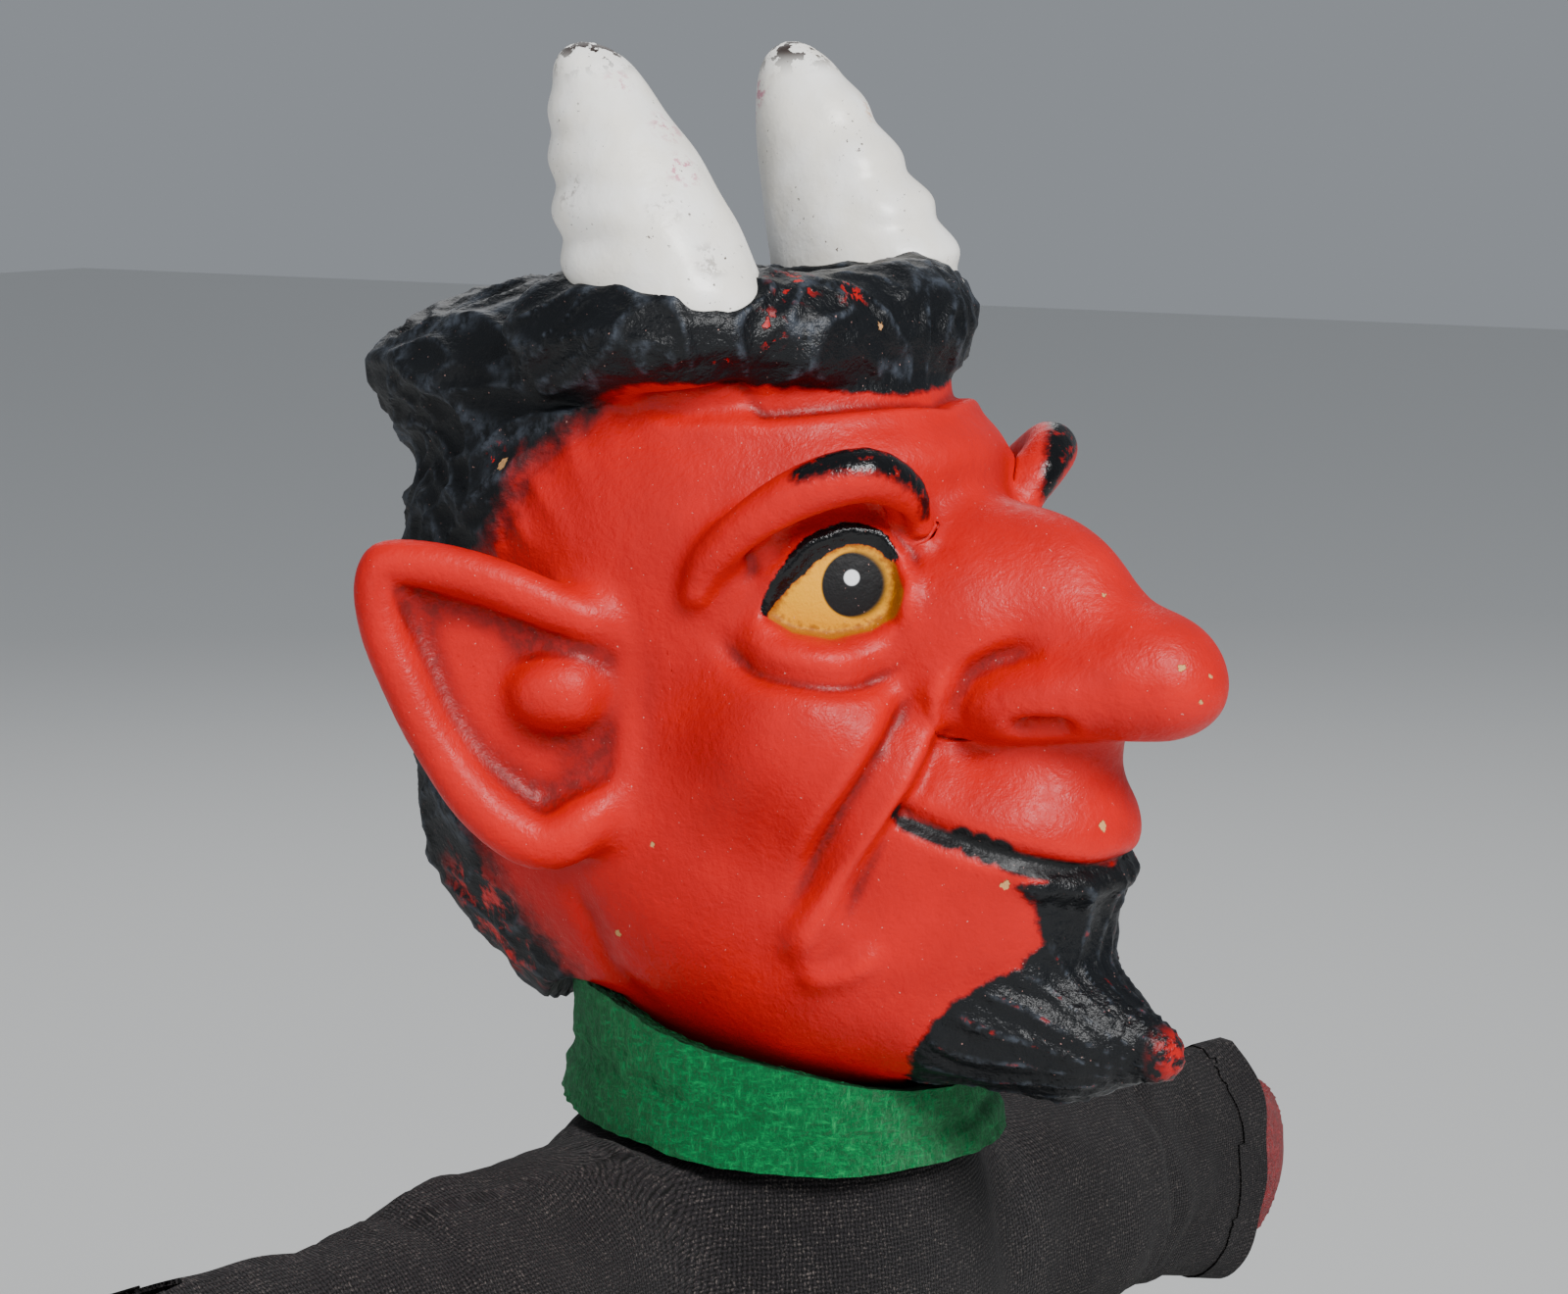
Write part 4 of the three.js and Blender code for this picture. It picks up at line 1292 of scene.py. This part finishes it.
def collar(settings):
    """A band of green felt round the neck, creased along its middle."""
    inner_r, thick = COLLAR_R[0], COLLAR_R[1] - COLLAR_R[0]
    around, rows = 240, 26
    points, normals, faces = [], [], []
    for row in range(rows + 1):
        for column in range(around):
            angle = 2 * math.pi * column / around
            share = row / rows
            x, y = math.sin(angle), -math.cos(angle)
            bottom = COLLAR_FOOT[0] + COLLAR_FOOT[1] * inner_r * y + 0.4 * math.sin(3 * angle + 1)
            top = float(collar_top(inner_r * y)) + 0.3 * math.sin(5 * angle)
            z = bottom + share * (top - bottom)
            wave = 0.35 * math.sin(4 * angle + 2 * share) + 0.25 * math.sin(9 * angle + 1.3)
            crease = -0.9 * math.exp(-(((share - 0.42 - 0.05 * math.sin(3 * angle)) / 0.1) ** 2))
            lean = 1.3 * (1 - share) ** 2
            radius = inner_r + thick + max(wave + crease + lean, -0.4)
            points.append((x * radius, y * radius, z))
    for row in range(rows):
        for column in range(around):
            after = (column + 1) % around
            a, b = row * around + column, row * around + after
            faces.append([a, b, b + around, a + around])
    points = np.array(points)
    normals = points * [1, 1, 0]
    normals /= np.linalg.norm(normals, axis=1)[:, None]
    points += normals * (0.22 * waves(points, 2.2, 41) + 0.15 * waves(points, 1.1, 42))[:, None]
    obj = shell("felt_collar_band", points, normals, faces, 0.0, -thick)
    obj.data.normals_split_custom_set([(0, 0, 0)] * len(obj.data.loops))
    obj.data.materials.append(felt("green_felt", settings.collar))
    take(obj)
    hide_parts("felt_collar")
    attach(obj, "neck")


def fibrous(name, grain, edges, dark, pale, roughness, depth):
    """A matt finish whose colour and height both follow one noise; grain is what noise takes."""
    s = Surface(name)
    fibre = s.noise(*grain)
    color = s.mix(s.ease(fibre, *edges), tint(*dark), tint(*pale))
    return s.finish(color, roughness, s.bump(fibre, depth))


def neck_fittings():
    """Card tube, cloth neckband and waxed cord, hardly seen under the collar."""
    card = (0.8, 4, 0.6, None, (1, 1, 4))
    band = (0.5, 3, 0.6)
    cord = (0.45, 2, 0.5, None, (1, 1, 2))
    finishes = {
        "finger_tube": fibrous("grey_card", card, (0.35, 0.7), (128, 112, 92), (164, 148, 124), 0.85, 0.15),
        "glove_neckband": fibrous("neckband_cloth", band, (0.4, 0.65), (12, 11, 12), (44, 40, 42), 0.95, 0.25),
        "binding_cord": fibrous("waxed_cord", cord, (0.4, 0.65), (120, 104, 80), (178, 160, 128), 0.6, 0.2),
    }
    for name, finish in finishes.items():
        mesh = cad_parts[name].data
        mesh.materials.clear()
        mesh.materials.append(finish)


# ------------------------------------------------------------------ stage

# in metres
CAMERA_AT, CAMERA_LOOKS_AT = (-0.4502, -0.3152, 0.3232), (0, 0, 0.246)
LAMPS_LOOK_AT = (0, 0, 0.24)
CAMERA_LENS, CAMERA_SENSOR = 100, 36  # millimetres
SKY, SKY_STRENGTH = (0.86, 0.92, 1, 1), 0.31


def look_at(obj, place):
    obj.rotation_euler = (Vector(place) - obj.location).to_track_quat("-Z", "Y").to_euler()


def stage(settings):
    floor_material = Surface("pale_floor").finish(settings.floor, 0.7)
    deselect()
    bpy.ops.mesh.primitive_plane_add(size=8, location=(0, 0, 0))
    floor = bpy.context.object
    floor.name = floor.data.name = "floor"
    floor.data.materials.append(floor_material)
    for name, place, size, power in (
        ("key", (-0.45, -0.95, 1.05), 0.45, settings.key),
        ("fill", (-1.3, 0.05, 0.6), 1.2, settings.fill),
        ("rim", (0.9, 0.8, 1.0), 0.8, settings.rim),
    ):
        bpy.ops.object.light_add(type="AREA", location=place)
        lamp = bpy.context.object
        lamp.name = name
        lamp.data.energy = power
        lamp.data.size = size
        look_at(lamp, LAMPS_LOOK_AT)
    world = bpy.data.worlds.new("studio")
    bpy.context.scene.world = world
    world.use_nodes = True
    background = world.node_tree.nodes["Background"]
    background.inputs["Color"].default_value = SKY
    background.inputs["Strength"].default_value = SKY_STRENGTH
    bpy.ops.object.camera_add(location=CAMERA_AT)
    camera = bpy.context.object
    camera.name = "camera"
    camera.data.lens = CAMERA_LENS
    camera.data.sensor_width = CAMERA_SENSOR
    look_at(camera, CAMERA_LOOKS_AT)
    bpy.context.scene.camera = camera


# ------------------------------------------------------------------ settings


def colour_choice(name, description, default):
    return bpy.props.FloatVectorProperty(
        name=name, description=description, default=default, subtype="COLOR", size=4, min=0, max=1
    )


def length_choice(name, description, default):
    """A length given in millimetres and stored in metres."""
    return bpy.props.FloatProperty(name=name, description=description, default=default * MM, unit="LENGTH", min=0)


def share_choice(name, description, default):
    return bpy.props.FloatProperty(name=name, description=description, default=default, min=0, max=0.3)


def power_choice(name, description, default):
    return bpy.props.FloatProperty(name=name, description=description, default=default, min=0, unit="POWER")


class HeadSettings(bpy.types.PropertyGroup):
    """Sizes and paints of the vinyl head"""

    grain: length_choice("Grain", "Size of the mesh the head is modelled on", 0.75)
    red: colour_choice("Skin", "Red of the skin", tint(197, 4, 3))
    # painted shade: the red laid into the creases and hollows
    shade: colour_choice("Skin shade", "Red in the creases", tint(118, 2, 4))
    black: colour_choice("Hair", "Black of the hair and beard", tint(8, 11, 15))
    line: colour_choice("Lines", "Black of the lids, brows and mouth", tint(9, 10, 12))
    yellow: colour_choice("Eye", "Yellow of the eyes", tint(232, 160, 0))
    bare: colour_choice("Bare vinyl", "Cream vinyl under the paint", tint(196, 146, 94))


class HornSettings(bpy.types.PropertyGroup):
    """Shape and paint of the horns"""

    right_lump: share_choice("Right lumps", "Height of the right horn's lumps, as a share of its radius", 0.075)
    left_lump: share_choice("Left lumps", "Height of the left horn's lumps, as a share of its radius", 0.1)
    white: colour_choice("White", "White of the horns", tint(253, 251, 246))


class GloveSettings(bpy.types.PropertyGroup):
    """Sizes and colours of the cloth glove"""

    thickness: length_choice("Cloth", "Thickness of the cloth", 1.1)
    grain: length_choice("Grain", "Size of the mesh the cloth is modelled on", 1.7)
    thread: length_choice("Thread", "Distance from one thread of the weave to the next", 0.59)
    dark: colour_choice("Between threads", "Colour between the threads", tint(4, 4, 4))
    light: colour_choice("Threads", "Colour of the threads", tint(35, 32, 34))


class FeltSettings(bpy.types.PropertyGroup):
    """Colours of the felt pieces"""

    collar: colour_choice("Collar", "Green of the collar", tint(0, 158, 84))
    hands: colour_choice("Hands", "Red of the hands", tint(176, 22, 32))
    hand_thickness: length_choice("Hand felt", "Thickness of the hands' felt", 0.9)


class StageSettings(bpy.types.PropertyGroup):
    """Floor and lamps"""

    floor: colour_choice("Floor", "Colour of the floor", tint(226, 226, 224))
    key: power_choice("Key lamp", "Power of the main lamp", 26)
    fill: power_choice("Fill lamp", "Power of the fill lamp", 5)
    rim: power_choice("Rim lamp", "Power of the lamp behind", 4)


# ------------------------------------------------------------------ operators and panel


class PUPPET_OT_stage(bpy.types.Operator):
    """Add the floor, the lamps and the camera"""

    bl_idname = "puppet.stage"
    bl_label = "Stage"

    def execute(self, context):
        stage(context.scene.puppet_stage)
        return {"FINISHED"}


class PUPPET_OT_head(bpy.types.Operator):
    """Model and paint the head"""

    bl_idname = "puppet.head"
    bl_label = "Head"

    def execute(self, context):
        head(context.scene.puppet_head)
        return {"FINISHED"}


class PUPPET_OT_horns(bpy.types.Operator):
    """Model both horns"""

    bl_idname = "puppet.horns"
    bl_label = "Horns"

    def execute(self, context):
        for side in (-1, 1):
            horn(side, context.scene.puppet_horns)
        return {"FINISHED"}


class PUPPET_OT_glove(bpy.types.Operator):
    """Model the cloth of the glove, its sleeves, cuffs and hem"""

    bl_idname = "puppet.glove"
    bl_label = "Glove cloth"

    def execute(self, context):
        glove(context.scene.puppet_glove)
        return {"FINISHED"}


class PUPPET_OT_hands(bpy.types.Operator):
    """Model the four halves of the felt hands"""

    bl_idname = "puppet.hands"
    bl_label = "Felt hands"

    def execute(self, context):
        hands(context.scene.puppet_felt)
        return {"FINISHED"}


class PUPPET_OT_collar(bpy.types.Operator):
    """Model the felt collar"""

    bl_idname = "puppet.collar"
    bl_label = "Felt collar"

    def execute(self, context):
        collar(context.scene.puppet_felt)
        return {"FINISHED"}


class PUPPET_OT_neck_fittings(bpy.types.Operator):
    """Finish the finger tube, the neckband and its cord"""

    bl_idname = "puppet.neck_fittings"
    bl_label = "Neck fittings"

    def execute(self, context):
        neck_fittings()
        return {"FINISHED"}


STEPS = [
    PUPPET_OT_stage,
    PUPPET_OT_head,
    PUPPET_OT_horns,
    PUPPET_OT_glove,
    PUPPET_OT_hands,
    PUPPET_OT_collar,
    PUPPET_OT_neck_fittings,
]


class PUPPET_PT_panel(bpy.types.Panel):
    bl_idname = "PUPPET_PT_panel"
    bl_label = "Puppet"
    bl_space_type = "VIEW_3D"
    bl_region_type = "UI"
    bl_category = "Puppet"

    def draw(self, context):
        for step in STEPS:
            self.layout.operator(step.bl_idname)
        for name in SETTINGS:
            box = self.layout.box()
            group = getattr(context.scene, name)
            for each in group.bl_rna.properties:
                if each.identifier not in ("rna_type", "name"):
                    box.prop(group, each.identifier)


SETTINGS = {
    "puppet_stage": StageSettings,
    "puppet_head": HeadSettings,
    "puppet_horns": HornSettings,
    "puppet_glove": GloveSettings,
    "puppet_felt": FeltSettings,
}


def register():
    for each in (*SETTINGS.values(), *STEPS, PUPPET_PT_panel):
        bpy.utils.register_class(each)
    for name, group in SETTINGS.items():
        setattr(bpy.types.Scene, name, bpy.props.PointerProperty(type=group))


def unregister():
    for name in SETTINGS:
        delattr(bpy.types.Scene, name)
    for each in reversed((*SETTINGS.values(), *STEPS, PUPPET_PT_panel)):
        bpy.utils.unregister_class(each)


def main():
    register()
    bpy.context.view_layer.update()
    for step in STEPS:
        group, name = step.bl_idname.split(".")
        getattr(getattr(bpy.ops, group), name)()


if __name__ == "__main__":
    main()
